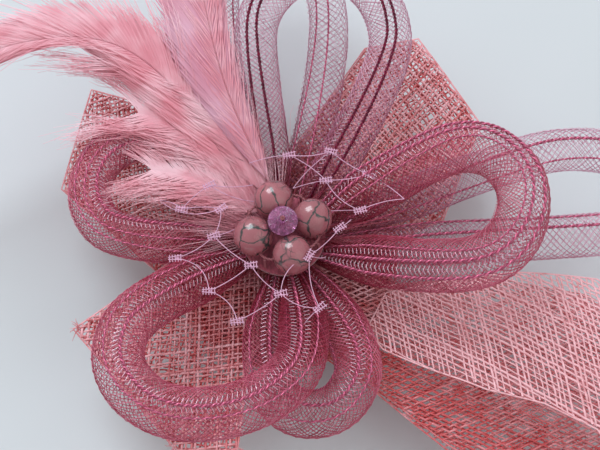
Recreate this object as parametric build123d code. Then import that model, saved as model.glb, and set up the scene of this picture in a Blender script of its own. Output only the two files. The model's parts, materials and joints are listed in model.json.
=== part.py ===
from build123d import *
import math
import os

# A dressy headpiece worn on a sprung hair clip.
# Frame: origin at the middle of the flat, hair-side face of the clip's lower arm.
# +X runs from the clip's jaw to its finger tails, +Z points away from the head.

# ---------------------------------------------------------------- driving dimensions
# Clip
CLIP_UPPER_W = 9.0
CLIP_LOWER_W = 6.4
STRIP_T = 0.8
CLIP_HEIGHT = 5.8
JAW_X = -24.0
TAIL_X = 21.0
TAIL_DROP = 4.8
HINGE_X = 6.0
HINGE_Z = 2.9
PIN_R = 1.0
PIN_RUNNING_GAP = 0.05
STITCH_D = 0.6
STITCH_X = (-18.0, -11.0, -4.0, 15.0)

# Base
FELT_R = 23.0
FELT_T = 1.4
BASE_R = 24.0
BASE_T = 1.0

# Straw cloth
STRAW_T = 1.0
LAYER_GAP = 0.2

# Crin tubes
TIP_R = 0.9
TAPER = 16.0
UPPER_TIP_Z = 16.5
LOWER_TIP_Z = 14.7
STALK_R = 3.8
STALK_TOP = 20.3

# Centre
FLUFF_R = 7.4
FLUFF_T = 0.8
PAD_R = 8.6
PAD_T = 1.2
BEAD_D = 8.0
BEAD_RING_R = 6.2
BEAD_TURN = 18.0
BEAD_BORE_R = 0.5
BEAD_THREAD_R = 0.3
CRYSTAL_D = 6.0
CRYSTAL_H = 5.6
CRYSTAL_TILT = 12.0
CRYSTAL_THREAD_R = 0.2

# Feathers and veil
VANE_T = 0.8
VEIL_T = 0.4
VEIL_R = (11.0, 22.5)
VEIL_Z = (23.6, 30.4)

FELT_Z = CLIP_HEIGHT
BASE_Z = FELT_Z + FELT_T
FIRST_LAYER_Z = BASE_Z + BASE_T + LAYER_GAP
LAYER_STEP = STRAW_T + LAYER_GAP
STALK_Z = FIRST_LAYER_Z + 4 * LAYER_STEP
FLUFF_Z = STALK_TOP
PAD_Z = FLUFF_Z + FLUFF_T + 0.1
BEAD_Z = PAD_Z + PAD_T + BEAD_D / 2
CRYSTAL_Z = BEAD_Z + 3.4

# Each crin loop: tube diameter, height of its sewn tips, and the corners that its centre line rounds.
CRIN_LOOPS = {
    "crin_loop_top": (9.0, UPPER_TIP_Z, [(-6, 34, 26), (-6, 51, 29), (9, 61, 31), (22, 51, 29), (23, 34, 26)]),
    "crin_loop_rear": (8.6, LOWER_TIP_Z, [(-12, 26, 15.4), (-16, 68, 18), (-4, 80, 19), (8, 70, 18), (11, 42, 16)]),
    "crin_loop_left": (8.8, UPPER_TIP_Z, [(-26, 24, 21), (-38, 19, 22), (-41, 7, 22), (-33, -2, 21)]),
    "crin_loop_lower_left": (
        10.0,
        UPPER_TIP_Z,
        [(-28, -14, 25), (-33, -29, 29), (-22, -40, 31), (-4, -38, 31), (7, -24, 24)],
    ),
    "crin_loop_bottom": (9.4, UPPER_TIP_Z, [(-5, -23, 17), (0, -36, 18), (12, -36, 18.5), (17, -22, 18)]),
    "crin_loop_right": (10.4, UPPER_TIP_Z, [(27, 15, 27), (41, 17, 31), (49, 5, 33), (43, -9, 32), (28, -9, 26)]),
    "crin_loop_far_right": (9.0, LOWER_TIP_Z, [(48, 20, 17), (66, 22, 18), (79, 16, 19), (78, 4, 19), (65, 1, 18)]),
}

# Each straw leaf: its corners in plan, its heading, and how high its far end lifts.
LEAVES = {
    "sinamay_leaf_upper_left": ([(5, 3), (-20, 33), (-43, 39), (-48, 15), (-26, -4), (-2, -6)], 155, 3.0),
    "sinamay_leaf_upper_right": ([(-5, 3), (0, 22), (18, 49), (30, 51), (43, 30), (34, 8), (4, -6)], 52, 3.0),
    "sinamay_leaf_lower_left": ([(6, 1), (-24, -2), (-43, -17), (-21, -42), (-9, -42), (-7, -24), (3, -6)], 225, 2.0),
}
LEAF_FLAT = 14.0
LEAF_REACH = 62.0
CORNER_R = 2.0

# The big open straw loop, folded back over itself.
BIG_LOOP_HEADING = -28.0
BIG_LOOP_REACH = 84.0
BIG_LOOP_FOLD_R = 6.0
BIG_LOOP_LOW_Z = 9.6
BIG_LOOP_PLAN = [(-4, 5), (20, -7), (55, -4), (78, -14), (84, -34), (64, -54), (36, -46), (18, -28), (-3, -5)]

# Feathers: root, tip, and a point on each edge of the vane, with the heights of root, middle and tip.
FEATHERS = {
    "feather_left": ((-7, 8), (-86, 24), (-46, 50), (-44, 31), (22.9, 29.5, 36.0), 148),
    "feather_upright": ((-3, 11), (-21, 78), (-22, 44), (-11, 44), (24.3, 31.5, 36.0), 106),
}
QUILL_REACH = (9.0, 42.0, 92.0)


def save(shape, name):
    """Write one sub-part."""
    export_step(shape, f"parts/{name}.step")


def beam(start, end, radius):
    """A round bar between two points."""
    a, b = Vector(*start), Vector(*end)
    place = Plane(origin=a, z_dir=b - a)
    return place * Cylinder(radius, (b - a).length, align=(Align.CENTER, Align.CENTER, Align.MIN))


def bend_radius(before, corner, after):
    """The arc at a corner that uses 0.45 of the shorter run beside it."""
    a, b = before - corner, after - corner
    turn = math.radians(180 - a.get_angle(b))
    return 0.45 * min(a.length, b.length) / math.tan(turn / 2)


def side_plate(x_low, x_high, z_edge, round_r, y_low, thickness):
    """A clip ear: a plate beside the hinge, rounded about the pin."""
    ear = Pos(HINGE_X, HINGE_Z) * Circle(round_r)
    z_low, z_high = sorted((z_edge, HINGE_Z))
    ear += Pos((x_low + x_high) / 2, (z_low + z_high) / 2) * Rectangle(x_high - x_low, z_high - z_low)
    plane = Plane(origin=(0, y_low + thickness, 0), x_dir=(1, 0, 0), z_dir=(0, -1, 0))
    return extrude(plane * ear, amount=thickness)


def pin_bore(radius):
    """The drilling through both ears for the hinge pin."""
    return beam((HINGE_X, -8, HINGE_Z), (HINGE_X, 8, HINGE_Z), radius)


def clip_upper_arm():
    """The long flat strip under the base, with an ear each side of the hinge."""
    top = CLIP_HEIGHT
    length = TAIL_X - 1 - (JAW_X - 1)
    middle = (TAIL_X + JAW_X - 2) / 2
    arm = Pos(middle, 0, top - STRIP_T / 2) * Box(length, CLIP_UPPER_W, STRIP_T)
    arm = fillet(arm.edges().filter_by(Axis.Z), 3.0)
    for y_low in (-CLIP_UPPER_W / 2, CLIP_UPPER_W / 2 - STRIP_T):
        arm += side_plate(HINGE_X - 2.5, HINGE_X + 2.5, top - STRIP_T / 2, 2.5, y_low, STRIP_T)
    return arm - pin_bore(PIN_R)


def clip_lower_arm():
    """The jaw, its toothed lip, and the finger tail that falls away behind the hinge."""
    bend_x = HINGE_X + 3.2
    lip_top = CLIP_HEIGHT - STRIP_T - 0.3
    side = Polyline(
        (JAW_X, 0),
        (bend_x, 0),
        (TAIL_X, -TAIL_DROP),
        (TAIL_X + 0.3, -TAIL_DROP + 0.74),
        (bend_x + 0.15, STRIP_T),
        (JAW_X + STRIP_T, STRIP_T),
        (JAW_X + STRIP_T, lip_top),
        (JAW_X, lip_top),
        close=True,
    )
    plane = Plane(origin=(0, CLIP_LOWER_W / 2, 0), x_dir=(1, 0, 0), z_dir=(0, -1, 0))
    arm = extrude(plane * make_face(side), amount=CLIP_LOWER_W)
    ear_t = 0.7
    for y_low in (-CLIP_LOWER_W / 2, CLIP_LOWER_W / 2 - ear_t):
        arm += side_plate(HINGE_X - 1.95, HINGE_X + 1.95, STRIP_T / 2, 1.95, y_low, ear_t)
    for k in (-1, 0, 1):
        arm -= Pos(JAW_X, k * 2.0, lip_top) * Box(4, 0.9, 1.6)
    return arm - pin_bore(PIN_R + PIN_RUNNING_GAP)


def clip_hinge_pin():
    """A headed pin across all four ears."""
    half = CLIP_UPPER_W / 2
    pin = beam((HINGE_X, -half, HINGE_Z), (HINGE_X, half, HINGE_Z), PIN_R)
    for side in (-1, 1):
        pin += beam((HINGE_X, side * half, HINGE_Z), (HINGE_X, side * (half + 0.5), HINGE_Z), 1.6)
    return pin


def clip_spring():
    """A torsion spring round the pin, its legs pushing the tails apart."""
    half, wire_r = 2.2, 0.25
    coil = beam((HINGE_X, -half, HINGE_Z), (HINGE_X, half, HINGE_Z), 1.75)
    coil -= beam((HINGE_X, -half, HINGE_Z), (HINGE_X, half, HINGE_Z), 1.2)
    upper_leg = beam((HINGE_X, 1.8, HINGE_Z + 1.5), (HINGE_X + 6, 1.8, HINGE_Z + 1.75), wire_r)
    route = FilletPolyline(
        (HINGE_X, -1.8, HINGE_Z - 1.48),
        (HINGE_X + 3.7, -1.8, HINGE_Z - 1.6),
        (HINGE_X + 9.5, -1.8, HINGE_Z - 4.1),
        radius=2.0,
    )
    lower_leg = sweep(Plane(origin=route @ 0, z_dir=route % 0) * Circle(wire_r), path=route)
    return coil + upper_leg + lower_leg


def clip_stitches():
    """Thread bars that pass under the upper arm and up into the felt."""
    r = STITCH_D / 2
    y = CLIP_UPPER_W / 2 + r + 0.3
    z = CLIP_HEIGHT - STRIP_T - r - 0.05
    bars = []
    for x in STITCH_X:
        route = FilletPolyline((x, -y, FELT_Z), (x, -y, z), (x, y, z), (x, y, FELT_Z), radius=0.7)
        bars.append(sweep(Plane(origin=route @ 0, z_dir=route % 0) * Circle(r), path=route))
    return Compound(bars)


def crin_loop(tube_d, tip_z, corners):
    """A closed loop of soft tube with both ends pinched to points beside the stalk."""
    corners = [Vector(*c) for c in corners]
    tips = []
    for c in (corners[0], corners[-1]):
        level = Vector(c.X, c.Y, 0).normalized() * (STALK_R + 0.3)
        tips.append(Vector(level.X, level.Y, tip_z))
    whole = [tips[0], *corners, tips[1]]
    radii = [bend_radius(*whole[i - 1 : i + 2]) for i in range(1, len(whole) - 1)]
    spread = math.radians((corners[0] - tips[0]).get_angle(corners[-1] - tips[1]))
    clear = 1.1 * tube_d / (2 * math.sin(spread / 2))
    runs = []
    for tip, corner, beyond in ((tips[0], corners[0], corners[1]), (tips[1], corners[-1], corners[-2])):
        run = corner - tip
        straight = run.length - 0.45 * min(run.length, (beyond - corner).length)
        runs.append((tip, run.normalized(), min(max(TAPER, clear), straight - 0.5)))
    starts = [tip + way * taper for tip, way, taper in runs]
    path = FilletPolyline(starts[0], *corners, starts[1], radius=radii)
    loop = sweep(Plane(origin=starts[0], z_dir=runs[0][1]) * Circle(tube_d / 2), path=path)
    print(f"  bend radii {[round(r, 1) for r in radii]}, filled {loop.volume / (path.length * math.pi * tube_d**2 / 4):.3f}")
    cone_at = (Align.CENTER, Align.CENTER, Align.MIN)
    for tip, way, taper in runs:
        loop += Plane(origin=tip, z_dir=way) * Cone(TIP_R, tube_d / 2, taper, align=cone_at)
    return loop


def bent_sheet(plan, heading, profile, thickness):
    """A sheet bent along its heading, cut to a shape in plan. The profile gives distance and underside height."""
    over = [(s, z + thickness) for s, z in reversed(profile)]
    side = make_face(Polyline(*profile, *over, close=True))
    slab = extrude(Plane.XZ * side, amount=100, both=True)
    cut = extrude(plan, amount=60)
    return (Rot(0, 0, heading) * slab) & cut


def sinamay_leaf(corners, heading, lift, layer):
    """A flat-rooted leaf of straw cloth whose far end lifts a little."""
    z = FIRST_LAYER_Z + layer * LAYER_STEP
    plan = make_face(Polyline(*corners, close=True))
    plan = fillet(plan.vertices(), CORNER_R)
    middle = (LEAF_FLAT + LEAF_REACH) / 2
    profile = [(-20, z), (LEAF_FLAT, z), (middle, z + lift * 0.35), (LEAF_REACH, z + lift)]
    return bent_sheet(plan, heading, profile, STRAW_T)


def sinamay_big_loop():
    """A wide band that runs out, folds up and comes back over itself."""
    root_z = FIRST_LAYER_Z + 3 * LAYER_STEP
    low, high = BIG_LOOP_LOW_Z, BIG_LOOP_LOW_Z + 2 * BIG_LOOP_FOLD_R
    fold_x = BIG_LOOP_REACH - BIG_LOOP_FOLD_R
    t = STRAW_T / 2
    route = FilletPolyline((-6, root_z + t), (9, root_z + t), (24, low + t), (fold_x, low + t), radius=8.0)
    fold = ThreePointArc((fold_x, low + t), (BIG_LOOP_REACH, (low + high) / 2 + t), (fold_x, high + t))
    back = FilletPolyline((fold_x, high + t), (48, high - 1.5 + t), (30, 12.2 + t), (25, 12.0 + t), radius=8.0)
    side = trace(Wire([*route.edges(), *fold.edges(), *back.edges()]), STRAW_T)
    slab = extrude(Plane.XZ * side, amount=100, both=True)
    plan = fillet(make_face(Polyline(*BIG_LOOP_PLAN, close=True)).vertices(), CORNER_R)
    return (Rot(0, 0, BIG_LOOP_HEADING) * slab) & extrude(plan, amount=60)


def feather(root, tip, outer, inner, heights, heading):
    """A thin curved vane, rising from the centre."""
    plan = make_face([ThreePointArc(root, outer, tip), ThreePointArc(tip, inner, root)])
    profile = list(zip(QUILL_REACH, heights))
    profile.insert(0, (0, heights[0]))
    return bent_sheet(plan, heading, profile, VANE_T)


def veil():
    """The net's ruffle: a thin cone that leaves a gap where the feathers rise."""
    (r_in, r_out), (z_in, z_out) = VEIL_R, VEIL_Z
    section = make_face(
        Polyline((r_in, z_in), (r_out, z_out), (r_out, z_out + VEIL_T), (r_in, z_in + VEIL_T), close=True)
    )
    return Rot(0, 0, 180) * revolve(Plane.XZ * section, Axis.Z, revolution_arc=262)


def bead_place(k):
    """Where one bead of the ring sits, and the direction of its bore."""
    angle = math.radians(BEAD_TURN + 90 * k)
    centre = Vector(BEAD_RING_R * math.cos(angle), BEAD_RING_R * math.sin(angle), BEAD_Z)
    return centre, Vector(-math.sin(angle), math.cos(angle), 0)


def round_bead(k):
    """A round stone bead, drilled along the ring."""
    centre, way = bead_place(k)
    return Pos(centre) * Sphere(BEAD_D / 2) - beam(centre - way * BEAD_D, centre + way * BEAD_D, BEAD_BORE_R)


def bead_thread():
    """One thread through all the round beads, tied down to the pad between them."""
    side = BEAD_RING_R * 2
    ring = fillet((Rectangle(side, side)).vertices(), 1.9).wire()
    ring = Pos(0, 0, BEAD_Z) * Rot(0, 0, BEAD_TURN) * ring
    thread = sweep(Plane(origin=ring @ 0, z_dir=ring % 0) * Circle(BEAD_THREAD_R), path=ring)
    for k in range(4):
        angle = math.radians(BEAD_TURN + 45 + 90 * k)
        reach = BEAD_RING_R * math.sqrt(2) - 0.79
        x, y = reach * math.cos(angle), reach * math.sin(angle)
        thread += beam((x, y, PAD_Z + PAD_T), (x, y, BEAD_Z), BEAD_THREAD_R)
    return thread


def crystal_frame():
    """The tilted frame of the crystal bead, Z along its bore."""
    return Pos(0, 0, CRYSTAL_Z) * Rot(CRYSTAL_TILT, 0, 0)


def crystal_bead():
    """A faceted bead: eight-sided, widest at the middle, cut flat at both ends of its bore."""
    taper = math.degrees(math.atan2(CRYSTAL_D / 2 - 0.9, CRYSTAL_H / 2))
    girdle = RegularPolygon(CRYSTAL_D / 2, 8)
    half = extrude(girdle, amount=CRYSTAL_H / 2, taper=taper)
    body = half + mirror(half, about=Plane.XY)
    return crystal_frame() * (body - Cylinder(0.5, CRYSTAL_H * 2))


def crystal_thread():
    """The thread that holds the crystal down on the pad, with a small stop knot on top."""
    frame = crystal_frame()
    top = CRYSTAL_H / 2
    drop = (CRYSTAL_Z - PAD_Z - PAD_T) / math.cos(math.radians(CRYSTAL_TILT)) - 0.05
    stem = Pos(0, 0, (top - drop) / 2) * Cylinder(CRYSTAL_THREAD_R, top + drop)
    knot = Pos(0, 0, top + 0.3) * Cylinder(0.7, 0.5)
    return frame * (stem + knot + Pos(0, 0, top) * Cylinder(CRYSTAL_THREAD_R, 0.6))


def disc(radius, z, thickness):
    """A round flat piece."""
    return Pos(0, 0, z + thickness / 2) * Cylinder(radius, thickness)


os.makedirs("parts", exist_ok=True)

save(clip_upper_arm(), "clip_upper_arm")
save(clip_lower_arm(), "clip_lower_arm")
save(clip_hinge_pin(), "clip_hinge_pin")
save(clip_spring(), "clip_spring")
save(clip_stitches(), "clip_stitches")
save(disc(FELT_R, FELT_Z, FELT_T), "felt_backing")
save(disc(BASE_R, BASE_Z, BASE_T), "sinamay_base")

for number, (name, (corners, heading, lift)) in enumerate(LEAVES.items()):
    save(sinamay_leaf(corners, heading, lift, number), name)
save(sinamay_big_loop(), "sinamay_loop_right")

for name, (tube_d, tip_z, corners) in CRIN_LOOPS.items():
    print(name)
    save(crin_loop(tube_d, tip_z, corners), name)
save(disc(STALK_R, STALK_Z, STALK_TOP - STALK_Z), "binding_thread")

save(disc(FLUFF_R, FLUFF_Z, FLUFF_T), "feather_fluff")
for name, shape in FEATHERS.items():
    save(feather(*shape), name)
save(veil(), "veil_net")

save(disc(PAD_R, PAD_Z, PAD_T), "bead_pad")
for k, name in enumerate(("bead_right", "bead_top", "bead_left", "bead_bottom")):
    save(round_bead(k), name)
save(bead_thread(), "bead_thread")
save(crystal_bead(), "crystal_bead")
save(crystal_thread(), "crystal_thread")
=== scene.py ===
import json
import math

import bpy
import numpy as np
from bpy.props import FloatProperty, FloatVectorProperty, IntProperty, PointerProperty
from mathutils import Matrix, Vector
from mathutils.geometry import delaunay_2d_cdt

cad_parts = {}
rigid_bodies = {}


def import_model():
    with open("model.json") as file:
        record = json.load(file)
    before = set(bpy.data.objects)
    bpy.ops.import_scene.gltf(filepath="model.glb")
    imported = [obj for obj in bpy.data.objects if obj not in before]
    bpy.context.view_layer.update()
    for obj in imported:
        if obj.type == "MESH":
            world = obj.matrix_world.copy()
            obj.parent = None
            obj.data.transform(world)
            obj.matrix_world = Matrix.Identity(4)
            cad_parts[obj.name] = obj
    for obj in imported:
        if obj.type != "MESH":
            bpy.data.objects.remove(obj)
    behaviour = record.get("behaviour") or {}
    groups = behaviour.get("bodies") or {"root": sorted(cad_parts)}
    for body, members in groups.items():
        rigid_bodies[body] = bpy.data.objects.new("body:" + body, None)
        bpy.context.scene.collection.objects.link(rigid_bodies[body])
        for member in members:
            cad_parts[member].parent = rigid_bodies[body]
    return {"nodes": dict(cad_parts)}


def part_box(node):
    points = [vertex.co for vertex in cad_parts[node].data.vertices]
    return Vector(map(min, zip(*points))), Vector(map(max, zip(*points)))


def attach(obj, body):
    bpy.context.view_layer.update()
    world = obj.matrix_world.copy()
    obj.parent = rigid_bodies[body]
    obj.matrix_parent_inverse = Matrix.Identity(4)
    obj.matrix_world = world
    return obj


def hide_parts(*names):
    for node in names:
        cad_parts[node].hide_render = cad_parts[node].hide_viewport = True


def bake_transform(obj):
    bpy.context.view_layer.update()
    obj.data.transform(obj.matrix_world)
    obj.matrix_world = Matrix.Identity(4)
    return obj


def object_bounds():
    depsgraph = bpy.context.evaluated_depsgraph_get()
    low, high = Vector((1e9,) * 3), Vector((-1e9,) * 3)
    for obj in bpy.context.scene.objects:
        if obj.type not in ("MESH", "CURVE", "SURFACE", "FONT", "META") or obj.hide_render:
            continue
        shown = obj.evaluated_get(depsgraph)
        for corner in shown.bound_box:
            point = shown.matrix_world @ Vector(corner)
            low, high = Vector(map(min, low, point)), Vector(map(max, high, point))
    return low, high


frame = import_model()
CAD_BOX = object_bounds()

bl_info = {
    "name": "Crin and straw headpiece",
    "version": (1, 0, 0),
    "blender": (4, 5, 0),
    "location": "View3D > Sidebar > Headpiece",
    "description": "Makes a crin, straw, feather and bead headpiece on its packed frame",
    "category": "Add Mesh",
}

MM = 0.001
TAU = math.tau
HEAD = "headpiece"
FLAT_UNIT = 0.25  # metres of cloth that one unit of the cut pattern stands for
PATTERN_MARGIN = 1.3  # how much wider than that unit the threads are laid, so that turned ones still cover it
BARS_LIFT = 0.12 * MM  # how far the bars beside a rib stand off the tube
COIL_STEPS = 28.0  # points on each turn of a wound thread
DROPPED_THREADS = 0.04  # share of the straw threads that are missing


# ------------------------------------------------------------------ node trees
class Wire:
    """An output of a node, which can be added, multiplied and fed to other nodes."""

    def __init__(self, tree, socket):
        self.tree = tree
        self.socket = socket

    def __add__(self, other):
        return self.tree.combine("ADD", self, other)

    def __radd__(self, other):
        return self.tree.combine("ADD", other, self)

    def __sub__(self, other):
        return self.tree.combine("SUBTRACT", self, other)

    def __rsub__(self, other):
        return self.tree.combine("SUBTRACT", other, self)

    def __mul__(self, other):
        return self.tree.combine("MULTIPLY", self, other)

    __rmul__ = __mul__

    def __truediv__(self, other):
        return self.tree.combine("DIVIDE", self, other)

    def __rtruediv__(self, other):
        return self.tree.combine("DIVIDE", other, self)

    def __pow__(self, other):
        return self.tree.combine("POWER", self, other)


def is_vector(value):
    """True for a wire or a constant with three parts."""
    if isinstance(value, Wire):
        return value.socket.type in ("VECTOR", "RGBA")
    return hasattr(value, "__len__")


def label(key):
    """The shown name of an input: strand_radius is Strand radius."""
    return key.replace("_", " ").capitalize()


class Tree:
    """Adds nodes to one node tree and links them."""

    def __init__(self, nodes, links):
        self.nodes = nodes
        self.links = links

    def raw(self, kind, **settings):
        node = self.nodes.new(kind)
        for key, value in settings.items():
            setattr(node, key, value)
        return node

    def feed(self, socket, value):
        if isinstance(value, Wire):
            self.links.new(value.socket, socket)
        else:
            socket.default_value = value

    def add(self, kind, values=None, out=0, **settings):
        """One node with its inputs set by name, and one of its outputs by name or place."""
        node = self.raw(kind, **settings)
        for key, value in (values or {}).items():
            shown = [s for s in node.inputs if s.enabled and s.name == key]
            self.feed(shown[0] if shown else node.inputs[key], value)
        shown = [s for s in node.outputs if s.enabled and (s.name == out or not isinstance(out, str))]
        return Wire(self, shown[0 if isinstance(out, str) else out])

    def also(self, wire, name):
        """Another output of the node that a wire leaves."""
        shown = [s for s in wire.socket.node.outputs if s.enabled and s.name == name]
        return Wire(self, shown[0])

    def combine(self, operation, a, b=None):
        vectors = (is_vector(a), is_vector(b))
        if operation == "MULTIPLY" and any(vectors) and not all(vectors):
            vector, factor = (a, b) if vectors[0] else (b, a)
            return self.add("ShaderNodeVectorMath", {"Vector": vector, "Scale": factor}, operation="SCALE")
        node = self.raw("ShaderNodeVectorMath" if any(vectors) else "ShaderNodeMath", operation=operation)
        self.feed(node.inputs[0], a)
        if b is not None:
            self.feed(node.inputs[1], b)
        return Wire(self, node.outputs[0])

    def cos(self, angle):
        return self.combine("COSINE", angle)

    def sin(self, angle):
        return self.combine("SINE", angle)

    def cross(self, a, b):
        return self.combine("CROSS_PRODUCT", a, b)

    def xyz(self, x=0.0, y=0.0, z=0.0):
        return self.add("ShaderNodeCombineXYZ", {"X": x, "Y": y, "Z": z})

    def map_range(self, value, low, high, to_low, to_high):
        ends = {"From Min": low, "From Max": high, "To Min": to_low, "To Max": to_high}
        return self.add("ShaderNodeMapRange", {"Value": value, **ends})


class Maker(Tree):
    """A Geometry Nodes tree with named inputs, which turns a line or a surface into a finished mesh."""

    def __init__(self, name, **inputs):
        self.group = bpy.data.node_groups.new(name, "GeometryNodeTree")
        super().__init__(self.group.nodes, self.group.links)
        self.ids = {}
        kinds = {int: "Int", float: "Float", tuple: "Vector"}
        face = self.group.interface
        for key, default in {"source": "Geometry", **inputs, "seed": 1, "material": "Material"}.items():
            named = isinstance(default, str)
            kind = "NodeSocket" + (default if named else kinds[type(default)])
            socket = face.new_socket(label(key), in_out="INPUT", socket_type=kind)
            if not named:
                socket.default_value = default
            self.ids[key] = socket.identifier
        face.new_socket("Mesh", in_out="OUTPUT", socket_type="NodeSocketGeometry")
        self.entry = self.raw("NodeGroupInput")
        self.exit = self.raw("NodeGroupOutput")

    def __getitem__(self, key):
        return Wire(self, self.entry.outputs[label(key)])

    def random(self, low, high, index, salt=0):
        values = {"Min": low, "Max": high, "ID": index, "Seed": self["seed"] + salt}
        return self.add("FunctionNodeRandomValue", values, data_type="FLOAT")

    def attribute(self, name, data_type="FLOAT"):
        return self.add("GeometryNodeInputNamedAttribute", {"Name": name}, data_type=data_type)

    def store(self, geometry, name, value, data_type="FLOAT"):
        values = {"Geometry": geometry, "Name": name, "Value": value}
        return self.add("GeometryNodeStoreNamedAttribute", values, data_type=data_type, domain="POINT")

    def lines(self, geometry=None, **values):
        """The edges of a mesh, or of the source, as curves."""
        mesh = self["source"] if geometry is None else geometry
        return self.add("GeometryNodeMeshToCurve", {"Mesh": mesh, **values})

    def resample(self, curve, count):
        return self.add("GeometryNodeResampleCurve", {"Curve": curve, "Count": count}, mode="COUNT")

    def copies(self, curve, count):
        """Copies of a curve, with the number of each."""
        values = {"Geometry": curve, "Amount": count}
        many = self.add("GeometryNodeDuplicateElements", values, domain="SPLINE")
        return many, self.also(many, "Duplicate Index")

    def strands(self, count, steps):
        """Straight lines of that many points: the lines, their numbers, and each point's share of its line."""
        line = self.add("GeometryNodeCurvePrimitiveLine", {"End": (1.0, 0.0, 0.0)})
        many, index = self.copies(self.resample(line, steps), count)
        return many, index, self.add("GeometryNodeSplineParameter")

    def odd(self, index):
        return self.combine("MODULO", index, 2.0)

    def pair(self, index):
        """The number of the pair that a strand belongs to."""
        return self.combine("FLOOR", index / 2.0)

    def place(self, geometry, position):
        return self.add("GeometryNodeSetPosition", {"Geometry": geometry, "Position": position})

    def face(self, curves, normal):
        """Curves whose normals point a given way."""
        return self.add("GeometryNodeSetCurveNormal", {"Curve": curves, "Normal": normal}, mode="FREE")

    def path(self):
        """The source line as a curve whose normals lie level."""
        return self.add("GeometryNodeSetCurveNormal", {"Curve": self.lines()}, mode="Z_UP")

    def path_at(self, path, factor, value=0.0, data_type="FLOAT"):
        """Value, position, tangent and normal of the path at a share of its length."""
        values = {"Curves": path, "Factor": factor, "Value": value}
        sample = self.add("GeometryNodeSampleCurve", values, mode="FACTOR", data_type=data_type)
        return (sample, *(self.also(sample, n) for n in ("Position", "Tangent", "Normal")))

    def on_tube(self, path, along, turn, lift):
        """A point on the tube round a path: its position, the way out of the tube and the way round it."""
        radius, centre, ahead, level = self.path_at(path, along, self.attribute("tube_r"))
        above = self.cross(level, ahead)
        cosine, sine = self.cos(turn), self.sin(turn)
        outward = level * cosine + above * sine
        return centre + outward * (radius + lift), outward, above * cosine - level * sine

    def sway(self, along):
        """How far a rib has turned round its tube."""
        waves, offset = 9.0, 3.0
        return self.sin(along * waves + self["angle"] * offset) * self["drift"]

    def noise(self, vector, scale, detail=1.0, out=0):
        return self.add("ShaderNodeTexNoise", {"Vector": vector, "Scale": scale, "Detail": detail}, out=out)

    def wander(self, x, y, z, detail):
        """Smooth random steps in all directions, about zero."""
        return self.noise(self.xyz(x, y, z), 1.0, detail, out=1) - (0.5, 0.5, 0.5)

    def sweep(self, curves, profile, scale):
        values = {"Curve": curves, "Profile Curve": profile, "Scale": scale, "Fill Caps": True}
        return self.add("GeometryNodeCurveToMesh", values)

    def wires(self, curves, radius, sides=3, scale=1.0):
        """Round threads along curves."""
        ring = {"Resolution": sides, "Radius": radius}
        return self.sweep(curves, self.add("GeometryNodeCurvePrimitiveCircle", ring, mode="RADIUS"), scale)

    def ribbons(self, curves, thickness, width, scale):
        """Flat strips along curves."""
        sizes = {"Width": thickness, "Height": width}
        strip = self.add("GeometryNodeCurvePrimitiveQuadrilateral", sizes, mode="RECTANGLE")
        return self.sweep(curves, strip, scale)

    def join(self, *parts):
        node = self.raw("GeometryNodeJoinGeometry")
        for part in parts:
            self.links.new(part.socket, node.inputs[0])
        return Wire(self, node.outputs[0])

    def shade(self, geometry, smooth):
        return self.add("GeometryNodeSetShadeSmooth", {"Geometry": geometry, "Shade Smooth": smooth})

    def end(self, geometry, smooth=True):
        if smooth is not None:
            geometry = self.shade(geometry, smooth)
        geometry = self.add("GeometryNodeRealizeInstances", {"Geometry": geometry})
        geometry = self.add("GeometryNodeSetMaterial", {"Geometry": geometry, "Material": self["material"]})
        self.links.new(geometry.socket, self.exit.inputs[0])
        return self

    def make(self, name, source, material, **values):
        """Runs the tree on a source mesh and keeps the result as a plain mesh object."""
        obj = link_object(name, source)
        modifier = obj.modifiers.new(self.group.name, "NODES")
        modifier.node_group = self.group
        for key, value in {"material": material, **values}.items():
            modifier[self.ids[key]] = value
        deps = bpy.context.evaluated_depsgraph_get()
        final = obj.evaluated_get(deps)
        mesh = bpy.data.meshes.new_from_object(final, preserve_all_data_layers=True, depsgraph=deps)
        obj.modifiers.clear()
        obj.data = mesh
        mesh.name = name
        if not mesh.polygons:
            raise RuntimeError(f"{name} came out empty")
        return obj


def crin_braid_tree():
    """Two sets of fine strands wound round a tube in opposite directions."""
    t = Maker("Crin braid", strands=44, turns=7.0, steps=110, strand_radius=0.06 * MM, softness=0.05)
    path = t.path()
    lines, index, along = t.strands(t["strands"] * 2, t["steps"])
    hand = t.odd(index) * 2.0 - 1.0
    start = t.pair(index) + t.random(-0.09, 0.09, index)
    turn = start * TAU / t["strands"] + hand * t["turns"] * along * TAU
    centre = t.path_at(path, along)[1]
    crease = t.noise(centre * 60.0 + t.xyz(z=turn * 0.35), 1.6) - 0.5
    point, outward, _ = t.on_tube(path, along, turn, 0.0)
    reach = hand * t["strand_radius"] * 0.9
    squash = (point - centre) * (crease * 2.0 * t["softness"])
    # Painted shade: the tone falls to 0 towards both gathered tips, which turns the strands to the core colour
    # where the tubes go into the hub.
    out_of_hub_shade = t.map_range(t.combine("MINIMUM", along, 1.0 - along), 0.05, 0.3, 0.0, 1.0)
    lines = t.store(lines, "tone", out_of_hub_shade * t.random(0.4, 1.0, index, 7))
    lines = t.place(lines, point + squash + outward * reach)
    return t.end(t.wires(lines, t["strand_radius"]))


def rib_tree():
    """A twisted metallic cord that runs along a tube."""
    t = Maker(
        "Crin rib", angle=1.5, drift=0.2, twist_length=1.6 * MM, cord_radius=0.19 * MM,
        thread_radius=0.19 * MM,
    )
    path = t.path()
    twists = t.add("GeometryNodeCurveLength", {"Curve": path}) / t["twist_length"]
    lines, index, along = t.strands(2, twists * 8.0)
    turn = t["angle"] + t.sway(along)
    point, outward, around = t.on_tube(path, along, turn, t["cord_radius"])
    phase = twists * along * TAU + index * math.pi
    point = point + outward * (t.cos(phase) * t["cord_radius"]) + around * (t.sin(phase) * t["cord_radius"])
    lines = t.store(t.place(lines, point), "tone", 0.15 + index * 0.7)
    return t.end(t.wires(lines, t["thread_radius"], sides=4))


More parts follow.
